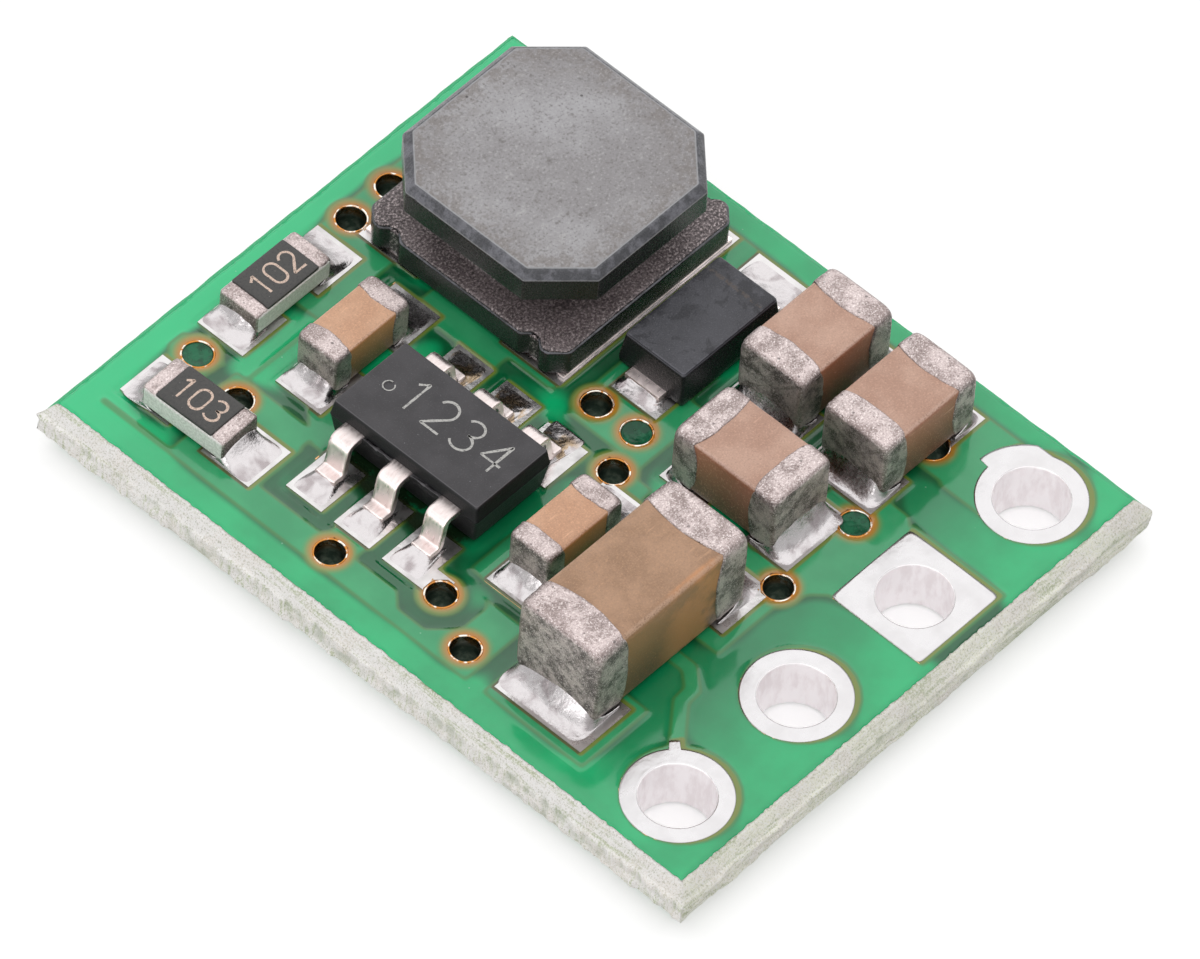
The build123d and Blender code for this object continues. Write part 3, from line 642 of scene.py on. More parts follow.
# Ceramic capacitors: a fired block of many thin layers with both ends dipped in metal paste and
# tinned. The metal is thicker than the block, rounded, and reaches further along the middle of
# each face than along its edges.
# For each chip: its place, its turn in degrees, its length, width and height, how far its end metal
# reaches along it, the span of its lands, and how far it slipped on them.
chips = {
    "capacitor_large": ((-2.17, -2.64), 0, (3.20, 1.58, 1.60), 0.60, 4.10, (0.0, 0.09)),
    "capacitor_upright": ((0.97, -2.10), 90, (2.00, 1.25, 1.15), 0.45, 2.50, (0.12, 0.0)),
    "capacitor_rear_right": ((3.255, -1.29), 0, (2.00, 1.25, 1.15), 0.45, 2.50, (0.08, 0.0)),
    "capacitor_front_right": ((3.235, -2.95), 0, (2.00, 1.25, 1.15), 0.45, 2.50, (0.06, 0.0)),
    "capacitor_by_regulator": ((-1.18, 3.75), 0, (1.60, 0.80, 0.80), 0.33, 2.56, (-0.10, 0.03)),
    "capacitor_middle": ((-1.69, -0.92), 0, (1.60, 0.80, 0.80), 0.33, 2.56, (-0.11, 0.01)),
    "resistor_rear": ((-1.18, 5.30), 0, (1.60, 0.80, 0.43), 0.25, 2.56, (-0.09, 0.03)),
    "resistor_left": ((-3.66, 4.46), 91, (1.60, 0.80, 0.43), 0.25, 2.56, (0.08, 0.04)),
}
seat = land_high + 0.02
metal_wall = 0.02


def settled(points, chip):
    """Points turned and moved from a chip's own frame, where X runs along it, to its place."""
    (x, y), turn = chips[chip][:2]
    c, s = np.cos(np.radians(turn)), np.sin(np.radians(turn))
    moved = points.copy()
    moved[..., 0] = x + c * points[..., 0] - s * points[..., 1]
    moved[..., 1] = y + s * points[..., 0] + c * points[..., 1]
    return moved


def section(angle, half_width, half_height, squareness):
    """A rounded rectangle: the closed curve on which the two coordinates, each divided by its half
    size and raised to the given power, add up to one."""
    across, up = np.cos(angle), np.sin(angle)
    size = (np.abs(across) ** squareness + np.abs(up) ** squareness) ** (-1 / squareness)
    return half_width * across * size, half_height * up * size


def section_angle(width, height, count=120):
    """Angles whose points are closer together at the corners of a rectangle."""
    corner = np.arctan2(height, width)
    stops = np.array([0, corner, np.pi - corner, np.pi + corner, 2 * np.pi - corner, 2 * np.pi])
    return np.interp(circle(count), np.array([0, 0.25, 0.75, 1.25, 1.75, 2.0]) * np.pi, stops)


def on_axis(chip, x, height):
    """A point on a chip's own middle line, in its place."""
    return settled(np.array([x, 0, height]), chip)


def ceramic_block(chip):
    """The block between the end metal, a rounded section carried along the chip, with slightly
    uneven faces."""
    length, width, height = chips[chip][2]
    reach, middle = length / 2 - chips[chip][3] * 0.35, seat + height / 2
    across, up = section(section_angle(width, height), width / 2 - metal_wall, height / 2 - metal_wall, 15)
    uneven = 1 + 0.006 * cloud(26, len(up), 3, 12, 2, closed=True) - 0.004
    along = np.linspace(-reach, reach, 26)[:, None] * np.ones(len(up))
    points = settled(np.stack([along, across * uneven, middle + up * uneven], -1), chip)
    return patch(points, around=True, start=on_axis(chip, -reach, middle),
                 end=on_axis(chip, reach, middle))


def end_metal(chip, side, bulge):
    """One dipped end: a section that starts on the block with a rolled lip, swells to full size,
    and closes over the end with a rounded edge and a slightly domed face. Its start reaches
    further along the middle of each face than along the block's edges."""
    (length, width, height), band = chips[chip][2:4]
    middle, narrow = seat + height / 2, min(width, height)
    angle = section_angle(width, height)
    across, up = np.abs(np.cos(angle)) / width, np.abs(np.sin(angle)) / height
    lean = np.minimum(across, up) / np.maximum(across, up)
    wave = 0.018 * cloud(1, len(angle), 1, 16, 3, closed=True)
    start = length / 2 - band - bulge * (0.55 - lean ** 2.2) + wave
    round_over = 0.085 if narrow > 0.7 else 0.045
    stop = length / 2 - round_over
    lip, straight = np.linspace(0, 1, 6), np.linspace(0, 1, 14)[1:]
    turn, face = np.linspace(0, np.pi / 2, 9)[1:], np.linspace(0, 1, 9)[1:-1]

    def profile(*parts):
        return np.concatenate(parts)[:, None]

    share = profile(0 * lip, straight, 0 * turn + 1, 0 * face + 1)
    beyond = profile(0.035 * lip, 0.035 - 0.035 * straight, round_over * np.sin(turn),
                     0 * face + round_over)
    shrink = profile(metal_wall * (1 - np.sqrt(1 - (1 - lip) ** 2)), 0 * straight,
                     round_over * (1 - np.cos(turn)), round_over + face * (narrow / 2 - round_over) * 0.96)
    squareness = profile(0 * lip + 12, 12 - 3 * straight, 0 * turn + 8, 8 - 5 * face)
    y, z = section(angle, width / 2 - shrink, height / 2 - shrink, squareness)
    rows, columns = y.shape
    dents = 1 + 0.014 * np.minimum(cloud(rows, columns, rows / 3, columns / 5, 2, closed=True), 0)
    points = np.stack([start + (stop - start) * share + beyond, y * dents, z * dents + middle], -1)
    rim = np.maximum(step(lean, 0.80, 0.97), 1 - step(np.arange(rows), 0, 5)[:, None])
    rim = np.maximum(rim, np.sin(np.pi * step(shrink, 0, 2 * round_over * 0.3)))
    return patch(settled(facing(points, side), chip), around=True,
                 end=on_axis(chip, side * length / 2, middle), rim=rim[:, ::side])


def tone(colour, times, plus=0.0):
    """A colour made lighter or darker, no brighter than white."""
    return tuple(min(1.0, part * times + plus) for part in colour)


def ceramic_look(colours, side, tall, band=None):
    """Fired ceramic: fine pale and dark grains, faint layer lines, a cloudy tint, pale rounded edges that
    are a painted highlight, and sides where the saw left another colour, which painted shade darkens
    towards the bottom."""
    def look(shade):
        clouds, fine, up = shade.grain(1.6, 4, 0.6), shade.grain(34, 3, 0.7), shade.field("up")
        # painted shade: the sides darken towards the bottom
        lower_side_shade = shade.height().rise(seat + 0.15 * tall, seat + 0.95 * tall)
        body = clouds.rise(0.34, 0.68).mix(*colours).coated(
            (up.rise(0.75, 0.25) * 0.9, lower_side_shade.mix(tone(side, 0.36), tone(side, 1.35))),
            (fine.rise(0.50, 0.72) * 0.4, tone(colours[1], 1.5)),
            (fine.rise(0.46, 0.30) * 0.4, tone(colours[0], 0.6)))
        if band:
            body = band(shade, clouds).mix(body, (0.62, 0.27, 0.10))
        # painted highlight: the rounded edges turn paler, broken by the grain
        edge = up.rise(0.25, 0.5) * (1 - up.rise(0.78, 0.95))
        scratch = shade.grain(7, 3, 0.6, (0.2, 1.5, 1)).rise(0.66, 0.74)
        body = body.coated((edge * fine.rise(0.36, 0.50) * 0.5, tone(colours[1], 1.2, 0.12)),
                           (scratch * 0.3, tone(colours[1], 1.7)))
        return body, fine.rough(0.34, 0.52), (fine, 0.004)
    return look


@material
def dipped_metal(shade):
    """Tinned paste: a fine bright sparkle over pinkish grey with dark pits, duller and darker on
    the upright faces, which is painted shade."""
    fine, broad = shade.grain(38, 4, 0.75), shade.grain(3.2, 4, 0.68)
    # painted shade: upright faces take duller, darker copies of each colour
    upright = shade.field("up").rise(0.75, 0.15)
    light = upright.mix((0.51, 0.430, 0.420), (0.50, 0.420, 0.405))
    dark = upright.mix((0.28, 0.225, 0.215), (0.125, 0.103, 0.098))
    worn = shade.field("rim") * broad.rise(0.30, 0.62)
    pits = shade.cells(6.5).rise(0.16, 0.09) * broad.rise(0.42, 0.6)
    body = broad.rise(0.38, 0.60).mix(dark, light).coated(
        (worn * 0.75, upright.mix((0.20, 0.155, 0.145), (0.16, 0.135, 0.12))),
        (fine.rise(0.52, 0.64) * 0.8, upright.mix((0.82, 0.75, 0.735), (0.74, 0.66, 0.645))),
        (fine.rise(0.46, 0.35) * 0.7, upright.mix((0.10, 0.076, 0.072), (0.050, 0.040, 0.036))),
        (pits * 0.7, (0.10, 0.09, 0.085)))
    return body, fine.rough(0.30, 0.55), (fine - pits, 0.012), {"Metallic": 0.85}


def front_band(shade, clouds):
    """An orange-brown strip where the front top edge is chipped, broken by noise."""
    near = 1 - (shade.height(1) + 3.36).absolute().rise(0.03, 0.10)
    return near * shade.height(0).rise(-2.6, -1.9) * clouds.rise(0.36, 0.56) * 0.6


def facing(points, side):
    """Points mirrored to the other end where side is -1, in an order that keeps faces outwards."""
    turned_over = points * (side, 1, 1)
    return turned_over if side > 0 else turned_over[:, ::-1]


large = ceramic_look([(0.290, 0.162, 0.088), (0.395, 0.230, 0.136)], (0.220, 0.114, 0.042), 1.6, front_band)
medium = ceramic_look([(0.400, 0.228, 0.162), (0.500, 0.310, 0.232)], (0.250, 0.092, 0.045), 1.15)
small = ceramic_look([(0.500, 0.270, 0.160), (0.600, 0.350, 0.220)], (0.420, 0.185, 0.062), 0.8)
by_length = {3.20: (material(large, "large_ceramic"), 0.11), 2.00: (material(medium, "medium_ceramic"), 0.09),
             1.60: (material(small, "small_ceramic"), 0.05)}
capacitors = [chip for chip in chips if chip.startswith("capacitor")]
for chip in capacitors:
    finish, bulge = by_length[chips[chip][2][0]]
    piece(f"{chip}_ceramic_body", [ceramic_block(chip)], finish, [f"{chip}_block"])
    ends = [end_metal(chip, side, bulge) for side in (-1, 1)]
    piece(f"{chip}_dipped_ends", ends, dipped_metal, [f"{chip}_end_caps"])


# Solder under the chips. It was printed as paste and melted: it wets the land to its edges and
# climbs each end in a hollow curve, with a thin rim along the sides.
def hollow_skirt(metal, land, back, climb, corner=0.11):
    """A hollow skirt of solder round one end, in the end's own frame: each point runs from the
    land's rim to the metal above it, low at first and steep at last, and the sheet turns back
    under itself. Metal and land are (how far out, half width)."""
    columns = 90
    turns = [0, 0.20, 0.80, 1]

    def eased(stops, values):
        even = np.interp(np.linspace(0, 1, columns), stops, values)
        return np.convolve(np.pad(even, 6, mode="edge"), np.ones(13) / 13, "valid")

    inner_x = eased(turns, [back, metal[0], metal[0], back])
    inner_y = eased(turns, [-metal[1], -metal[1], metal[1], metal[1]])
    outer_x = eased(turns, [back, land[0], land[0], back])
    outer_y = eased(turns, [-metal[1] - 0.005, -land[1], land[1], metal[1] + 0.005])
    level = eased([0, 0.15, 0.27, 0.5, 0.73, 0.85, 1], [0.02, corner, 0.85, 1, 0.85, corner, 0.02])
    level = climb * level * (1 + 0.16 * cloud(1, columns, 1, 6, 2)[0])
    rise = np.linspace(0, 1, 15)[:, None]
    x, y = outer_x + (inner_x - outer_x) * rise, outer_y + (inner_y - outer_y) * rise
    z = land_high - 0.002 + 0.009 * step(rise, 0, 0.35) + level * rise ** 2.4
    z = z + 0.010 * cloud(15, columns, 3, 9, 2) * step(rise, 0.05, 0.4) * (1 - step(rise, 0.8, 1))
    return np.stack([np.vstack([x, inner_x - 0.05, inner_x - 0.05]),
                     np.vstack([y, inner_y * 0.96, inner_y * 0.96]),
                     np.vstack([z, land_high + level * 0.98, 0 * level + land_high - 0.002])], -1)


def chip_fillet(chip, side, climb_share):
    """The skirt between a chip's end metal and its land."""
    (length, width, height), band, span, slip = chips[chip][2:]
    land_end = span / 2 - side * slip[0] - 0.02
    skirt = hollow_skirt((length / 2 - 0.025, width / 2 - 0.012), (land_end, width / 2 + 0.045),
                         length / 2 - band, climb_share * height)
    return patch(settled(facing(skirt, side), chip), along=True)


@material
def bright_solder(shade):
    """Bright solder, rippled, with dark flow lines and a lilac tinge, and amber flux by the
    regulator's inner leads."""
    flow, fine = shade.grain(3.2, 3, 0.5, warp=0.5), shade.grain(22, 3, 0.6)
    x, y = shade.height(0), shade.height(1)
    flux = x.rise(-0.85, -0.70) * x.rise(0.0, -0.25) * y.rise(0.1, 0.3) * y.rise(2.9, 2.7)
    body = flow.rise(0.46, 0.70).mix((0.44, 0.418, 0.422), (0.27, 0.240, 0.245))
    body = (flux * shade.grain(4.5, 3).rise(0.44, 0.56) * 0.75).mix(body, (0.30, 0.195, 0.085))
    return body, fine.rough(0.18, 0.34), (flow * 3 + fine, 0.005), all_metal


for chip in chips:
    climb_share = 0.22 if chip == "capacitor_large" else 0.34 if chip in capacitors else 0.60
    skirts = [chip_fillet(chip, side, climb_share) for side in (-1, 1)]
    piece(f"{chip}_fillets", skirts, bright_solder, [f"{chip}_solder"])


# Chip resistors: a white alumina chip with metal wrapped round its ends and a black glaze over
# the resistive film, which carries a plain number burnt into it by a laser.
def wrapped_block(chip, inset, low, high, x_from, x_to, squareness, uneven=0.0, rows=10, round_ends=0.03):
    """A rounded section from one place to another along the chip, closed at both ends; the first
    and last rows draw in to round its end edges."""
    half_width, half_height = chips[chip][2][1] / 2 - inset, (high - low) / 2
    middle = seat + (low + high) / 2
    turn = np.linspace(0, np.pi / 2, 5)
    ease, shift = round_ends * (1 - np.sin(turn)), round_ends * (1 - np.cos(turn))
    along = np.concatenate([x_from + shift, np.linspace(x_from + round_ends, x_to - round_ends, rows)[1:-1],
                            (x_to - shift)[::-1]])
    draw = np.concatenate([ease, np.zeros(rows - 2), ease[::-1]])[:, None]
    angle = section_angle(half_width, half_height, 96)
    y, z = section(angle, half_width - draw, half_height - draw, squareness)
    rough = 1 + uneven * cloud(*y.shape, 3, 12, 2, closed=True)
    points = np.stack([np.broadcast_to(along[:, None], y.shape), y * rough, z * rough + middle], -1)
    return patch(settled(points, chip), around=True, start=on_axis(chip, along[0], middle),
                 end=on_axis(chip, along[-1], middle), rim=step(draw, 0, 0.03))


@material
def white_alumina(shade):
    """White alumina with grey grains."""
    fine = shade.grain(24, 3, 0.7)
    body = fine.rise(0.35, 0.7).mix((0.58, 0.57, 0.54), (0.80, 0.79, 0.76))
    return body, 0.55, (fine, 0.006)


@material
def black_glaze(shade):
    """Black glaze, slightly brown, with dust and a soft orange-peel surface."""
    fine, dust = shade.grain(20, 3, 0.6), shade.cells(9).rise(0.10, 0.04)
    body = fine.rise(0.35, 0.7).mix((0.012, 0.011, 0.010), (0.030, 0.027, 0.024))
    return (dust * 0.5).mix(body, (0.22, 0.20, 0.18)), fine.rough(0.26, 0.42), (shade.grain(5, 2), 0.010)


def stroke(path, width, height):
    """A flat ribbon carried along a path, as wide as a laser's line, its edges sunk."""
    path = np.array(path, float)
    length = np.concatenate([[0], np.cumsum(np.linalg.norm(np.diff(path, axis=0), axis=1))])
    even = np.linspace(0, length[-1], max(8, int(length[-1] / 0.012)))
    line = np.stack([np.interp(even, length, path[:, axis]) for axis in (0, 1)], 1)
    slope = np.gradient(line, axis=0)
    slope /= np.maximum(np.linalg.norm(slope, axis=1), 1e-9)[:, None]
    edge = width / 2 * (1 + 0.25 * cloud(1, len(line), 1, 6, 2)[0])[:, None]
    normal, sides = np.stack([-slope[:, 1], slope[:, 0]], 1), np.array([-1, -0.5, 0.5, 1])[:, None, None]
    flat = line + normal * edge * sides
    lift = np.array([-0.004, 0.0, 0.0, -0.004])[:, None] + np.zeros(len(line))
    return np.dstack([flat, height + lift])


def arc(x, y, radius_x, radius_y, start, stop, count=14):
    """Points along part of an ellipse, by angles in degrees."""
    angle = np.radians(np.linspace(start, stop, count))
    return [(x + radius_x * np.cos(a), y + radius_y * np.sin(a)) for a in angle]


digits = {
    "0": [arc(0.3, 0.70, 0.28, 0.28, 180, 0) + arc(0.3, 0.30, 0.28, 0.28, 0, -180) + [(0.02, 0.70)]],
    "1": [[(0.12, 0.80), (0.34, 0.98), (0.34, 0.02)]],
    "2": [arc(0.3, 0.70, 0.27, 0.28, 160, -35) + [(0.04, 0.02), (0.60, 0.02)]],
    "3": [arc(0.28, 0.74, 0.26, 0.24, 150, -90), arc(0.28, 0.26, 0.29, 0.25, 90, -150)],
    "4": [[(0.46, 0.02), (0.46, 0.98), (0.02, 0.32), (0.62, 0.32)]],
}


def number(text, size, pitch, width, middle, height, turn):
    """A row of digits, each drawn as ribbons in a box 0.6 wide and 1 high, then turned and moved."""
    c, s = np.cos(np.radians(turn)), np.sin(np.radians(turn))
    ribbons = []
    for place, digit in enumerate(text):
        left = (place - (len(text) - 1) / 2) * pitch
        for path in digits[digit]:
            flat = [(a * size + left - 0.3 * size, (b - 0.5) * size) for a, b in path]
            path = [(middle[0] + c * a - s * b, middle[1] + s * a + c * b) for a, b in flat]
            ribbons.append(stroke(path, width, height))
    return ribbons


@material
def burnt_number(shade):
    """Laser-burnt glaze: rough, pale copper-tan, broken by dark specks."""
    fine = shade.grain(40, 2, 0.7)
    body = fine.rise(0.30, 0.52).mix((0.16, 0.11, 0.085), (0.66, 0.50, 0.41))
    return body, 0.6, (fine, 0.004)


for chip, text, text_turn in (("resistor_rear", "102", 0), ("resistor_left", "103", 180)):
    (length, _, height), band = chips[chip][2:4]
    end = length / 2
    chip_body = wrapped_block(chip, 0.015, 0.02, height - 0.035, 0.03 - end, end - 0.03, squareness=24,
                              uneven=0.004)
    piece(f"{chip}_alumina", [chip_body], white_alumina, [f"{chip}_ceramic"])
    wraps = [wrapped_block(chip, 0.022, 0.004, height - 0.006, *span, squareness=9, uneven=0.012,
                           round_ends=0.045)
             for span in ((0.002 - end, band + 0.02 - end), (end - band - 0.02, end - 0.002))]
    piece(f"{chip}_wraps", wraps, dipped_metal, [f"{chip}_end_caps"])
    coat = wrapped_block(chip, 0.03, height - 0.08, height + 0.008, band - end, end - band, squareness=7,
                         rows=12)
    piece(f"{chip}_glaze", [coat], black_glaze, [f"{chip}_coat"])
    marks = number(text, size=0.42, pitch=0.31, width=0.070, middle=(0.0, 0.0),
                   height=seat + height + 0.0085, turn=text_turn)
    piece(f"{chip}_number", [patch(settled(mark, chip)) for mark in marks], burnt_number)


# Regulator: six gull-wing leads in a moulded black case. The case has drafted sides that meet at
# a parting line with a little flash between the leads, soft edges, a round pin-one dimple from
# an ejector pin, and a plain number burnt into its top.
regulator_spot = (-1.82, 1.44)
regulator_half = (0.80, 1.45)
draft = np.tan(np.radians(8))
lead_rows = (0.95, 0.0, -0.95)
lead_width, lead_thickness, lead_bend = 0.38, 0.12, 0.10
dimple = 1.03


def bends(first, tips, last, count):
    """Curves from each first point to its last one, with the tip as control point."""
    t = np.linspace(0, 1, count)[:, None]
    return (1 - t) ** 2 * first[:, None] + 2 * t * (1 - t) * tips[:, None] + t ** 2 * last[:, None]


def runs(start, stop, count):
    """Points between each start and its stop, both left out."""
    return start[:, None] + (stop - start)[:, None] * np.linspace(0, 1, count + 2)[1:-1][:, None]


def rounded_ring(corners, inset, radius, straight):
    """A polygon moved inwards by inset, each corner a curve whose control point is that corner,
    with the same number of points whatever the inset. Corners run anticlockwise."""
    corners = np.array(corners, float)
    into = corners - np.roll(corners, 1, 0)
    into /= np.linalg.norm(into, axis=1)[:, None]
    out = np.roll(into, -1, 0)
    cosine = (into * out).sum(1)
    normals = [np.stack([way[:, 1], -way[:, 0]], 1) for way in (into, out)]
    tips = corners - inset * ((normals[0] + normals[1]) / (1 + cosine)[:, None])
    cosine = np.clip(cosine, -1, 1)
    pull = (radius * np.sqrt((1 - cosine) / (1 + cosine + 1e-9)))[:, None]
    first, last = tips - into * pull, tips + out * pull
    ring = [bends(first, tips, last, 7), runs(last, np.roll(first, -1, 0), straight)]
    return np.concatenate(ring, 1).reshape(-1, 2)


def moulded(corners, profile, radius, spot, caps, straight, uneven=0.0):
    """A solid with a polygon's outline: (height, inset) rows carried round it, and flat caps made
    of smaller and smaller copies of the first and last rows. Gives its points and how patch closes it."""
    rings = np.array([rounded_ring(corners, inset, radius, straight) for _, inset in profile])
    heights = np.array([height for height, _ in profile])
    first, last = (np.linspace(0, 1, count + 2)[1:-1][:, None, None] for count in caps)
    rings = np.concatenate([rings[0] * first, rings, rings[-1] * last[::-1]])
    heights = np.concatenate([np.full(caps[0], heights[0]), heights, np.full(caps[1], heights[-1])])
    rows, columns = rings.shape[:2]
    rings = rings * (1 + uneven * cloud(rows, columns, 6, columns / 6, 2, closed=True))[..., None]
    points = np.dstack([rings + spot, np.broadcast_to(heights[:, None], (rows, columns))])
    return points, {"around": True, "start": (*spot, profile[0][0]), "end": (*spot, profile[-1][0])}


def box_corners(half_x, half_y):
    """A rectangle's corners, anticlockwise."""
    return [(-half_x, -half_y), (half_x, -half_y), (half_x, half_y), (-half_x, half_y)]


def eased_edge(height, inset, size, up=1):
    """Profile rows that round an edge over, ending level: up is 1 for a top edge, and for a bottom
    one -1, with its rows the other way round."""
    turn = np.linspace(0, np.pi / 2, 5)[::up]
    return [(height - up * size * (1 - np.sin(t)), inset + size * (1 - np.cos(t))) for t in turn]


def drafted(low, parting, high, slope, below, above):
    """Profile rows of sides that lean in from the parting line, at shares of the way up."""
    return ([(low + (parting - low) * t, (parting - low) * slope * (1 - t)) for t in below],
            [(parting + (high - parting) * t, (high - parting) * slope * t) for t in above])


def regulator_body():
    """The case: bottom edge, drafted side up to the parting line, drafted side above it, top edge."""
    low, parting, high = seat + 0.06, seat + 0.60, seat + 0.90
    below, above = drafted(low, parting, high, draft, np.linspace(0.06, 0.98, 8), np.linspace(0.03, 0.90, 6))
    profile = eased_edge(low, (parting - low) * draft, 0.02, -1) + below + [(parting, -0.004)] + above
    profile += eased_edge(high, (high - parting) * draft * 0.98, 0.026)
    points, closed = moulded(box_corners(*regulator_half), profile, 0.05, regulator_spot, caps=(3, 44),
                             straight=26, uneven=0.0012)
    from_dimple = np.hypot(points[..., 0] - regulator_spot[0], points[..., 1] - regulator_spot[1] - dimple)
    points[..., 2] -= (points[..., 2] > high - 0.002) * 0.030 * (1 - step(from_dimple, 0.085, 0.115))
    return patch(points, **closed)


def mould_look(dark, sheen):
    """Filled epoxy: satin black with fine glassy grains, faint flow marks and dust; painted shade takes
    its sides nearly to black and a painted highlight lightens its rounded top edges."""
    def look(shade):
        fine, flow, up = shade.grain(38, 3, 0.7), shade.grain(2.4, 3, 0.5), shade.field("up")
        body = flow.rise(0.36, 0.66).mix(tone(dark, 0.78), dark).coated(
            (fine.rise(0.56, 0.70) * 0.4, tone(dark, 2.0, 0.02)),
            (shade.cells(5).rise(0.055, 0.02) * 0.6, (0.30, 0.30, 0.31)),
            # painted shade on the sides, then a painted highlight on the rounded top edges
            (up.rise(0.8, 0.3) * 0.9, (0.006, 0.006, 0.007)),
            (up.rise(0.4, 0.6) * up.rise(0.98, 0.85) * 0.6, tone(dark, 2.2)))
        return body, fine.rough(sheen - 0.07, sheen + 0.07), (fine, 0.006), {"Specular IOR Level": 0.22}
    return look


def flash_strip(side, low_y, high_y):
    """A ragged fin of moulding resin between two leads."""
    low, high = seat + 0.545, seat + 0.650
    profile = eased_edge(low, 0, 0.015, -1) + [(low + 0.05, -0.006)] + eased_edge(high, 0, 0.015)
    spot = (regulator_spot[0] + side * 0.80, regulator_spot[1] + (low_y + high_y) / 2)
    points, closed = moulded(box_corners(0.045, (high_y - low_y) / 2), profile, 0.012, spot, caps=(2, 2),
                             straight=20)
    push = 0.020 * cloud(*points.shape[:2], 4, 30, 2, closed=True)
    points[..., 0] += side * np.minimum(push, 0.01)
    return patch(points, **closed)


flashes = [flash_strip(side, *span) for side in (-1, 1) for span in ((-0.76, -0.19), (0.19, 0.76))]
piece("regulator_body", [regulator_body(), *flashes],
      material(mould_look((0.060, 0.057, 0.061), 0.42), "black_moulding"), ["regulator_case"])


def gull_lead(side, row):
    """A flat strip carried along a line that runs out of the case, down in an S and out again."""
    corners = np.array([(0.50, 0.60), (1.075, 0.60), (1.175, 0.06), (1.40, 0.06)])
    ways = np.diff(corners, axis=0)
    ways /= np.linalg.norm(ways, axis=1)[:, None]
    first, last = corners[1:-1] - ways[:-1] * lead_bend, corners[1:-1] + ways[1:] * lead_bend
    curves = bends(first, corners[1:-1], last, 9)
    levels = runs(np.vstack([corners[:1], last]), np.vstack([first, corners[-1:]]), 8)
    line = np.vstack([corners[:1], levels[0], curves[0], levels[1], curves[1], levels[2], corners[-1:]])
    slope = np.gradient(line, axis=0)
    slope /= np.linalg.norm(slope, axis=1)[:, None]
    angle = section_angle(lead_width, lead_thickness, 64)
    across, up = section(angle, lead_width / 2, lead_thickness / 2, 12)
    points = np.stack([line[:, :1] - slope[:, 1:] * up, np.broadcast_to(across, (len(line), 64)),
                       seat + line[:, 1:] + slope[:, :1] * up], -1)
    place = np.array([regulator_spot[0], regulator_spot[1] + row, 0])
    start, end = (place + (side * x, 0, seat + z) for x, z in (line[0], line[-1]))
    return patch(facing(points, side) + place, around=True, start=start, end=end)


@material
def tinned_lead(shade):
    """Tinned copper strip: pinkish grey, drawn lengthwise, with shear marks and dull solder stains; a
    painted highlight turns its sloped and upright faces pinkish white.
    """
    drawn = shade.grain(12, 4, 0.6, (0.5, 2.0, 0.5))
    body = drawn.rise(0.36, 0.66).mix((0.50, 0.435, 0.422), (0.60, 0.540, 0.528)).coated(
        # painted highlight: sloped and upright faces turn pinkish white
        (shade.field("up").rise(0.95, 0.6), (0.97, 0.84, 0.82)),
        (shade.grain(4, 3).rise(0.55, 0.75) * 0.6, (0.38, 0.32, 0.305)))
    return body, drawn.rough(0.26, 0.42), (drawn, 0.004), all_metal


lead_places = [(side, row) for side in (-1, 1) for row in lead_rows]
for order, (side, row) in enumerate(lead_places, 1):
    piece(f"gull_lead_{order}", [gull_lead(side, row)], tinned_lead,
          [f"regulator_lead_{order}"])


def pool(spot, side, metal, land, back, climb):
    """The pool of solder over a land, drawn up round a lead's foot or a tab's end."""
    return patch(facing(hollow_skirt(metal, land, back, climb, corner=0.45), side) + (*spot, 0), along=True)


feet = [pool((regulator_spot[0], regulator_spot[1] + row), side, metal=(1.40, lead_width / 2),
             land=(1.81, 0.33), back=1.02, climb=0.105) for side, row in lead_places]
piece("regulator_feet", feet, bright_solder, ["regulator_solder"])


@material
def laser_number(shade):
    """Laser-roughened resin: light grey specks on the dark case."""
    fine = shade.grain(36, 3, 0.75)
    body = fine.rise(0.30, 0.52).mix((0.09, 0.09, 0.09), (0.45, 0.44, 0.42))
    return body, 0.6, (fine, 0.003)


marks = number("1234", size=0.62, pitch=0.52, width=0.074, height=seat + 0.9005, turn=-90,
               middle=(regulator_spot[0] + 0.13, regulator_spot[1] - 0.16))
dimple_rim = arc(regulator_spot[0], regulator_spot[1] + dimple, 0.092, 0.092, 0, 320, 30)
marks.append(stroke(dimple_rim, 0.022, seat + 0.9002))
piece("regulator_number", [patch(mark) for mark in marks], laser_number)


# Diode: a low black case, widest just above the board, with a flat tab under each end. Its top
# has faint stains, and a thin line marks the cathode's end.
diode_spot = (2.50, 0.26)


def diode_body():
    """The case's profile: short flared foot, drafted side, soft top edge."""
    low, parting, high = seat + 0.01, seat + 0.12, seat + 0.66
    slant = np.tan(np.radians(7))
    below, above = drafted(low, parting, high, slant, (0.15, 0.5, 0.97), np.linspace(0.03, 0.93, 9))
    profile = eased_edge(low, (parting - low) * slant, 0.015, -1) + below + above
    profile += eased_edge(high, (high - parting) * slant, 0.035)
    points, closed = moulded(box_corners(1.08, 0.64), profile, 0.06, diode_spot, caps=(3, 10), straight=24,
                             uneven=0.0012)
    return patch(points, **closed)


@material
def diode_moulding(shade):
    """Smooth bluish-black resin with faint smears and a brown cathode line."""
    body, *others = mould_look((0.066, 0.066, 0.076), 0.26)(shade)
    smear = shade.grain(2.6, 5, 0.7, warp=0.6).rise(0.52, 0.57)
    top = shade.height().rise(seat + 0.63, seat + 0.655)
    line = (1 - (shade.height(0) - 3.22).absolute().rise(0.02, 0.05)) * top
    rough_line = shade.grain(20, 2).rise(0.42, 0.58)
    body = body.coated((smear * top * 0.6, (0.018, 0.018, 0.022)),
                       (line * rough_line * 0.55, (0.110, 0.085, 0.070)))
    return body, *others


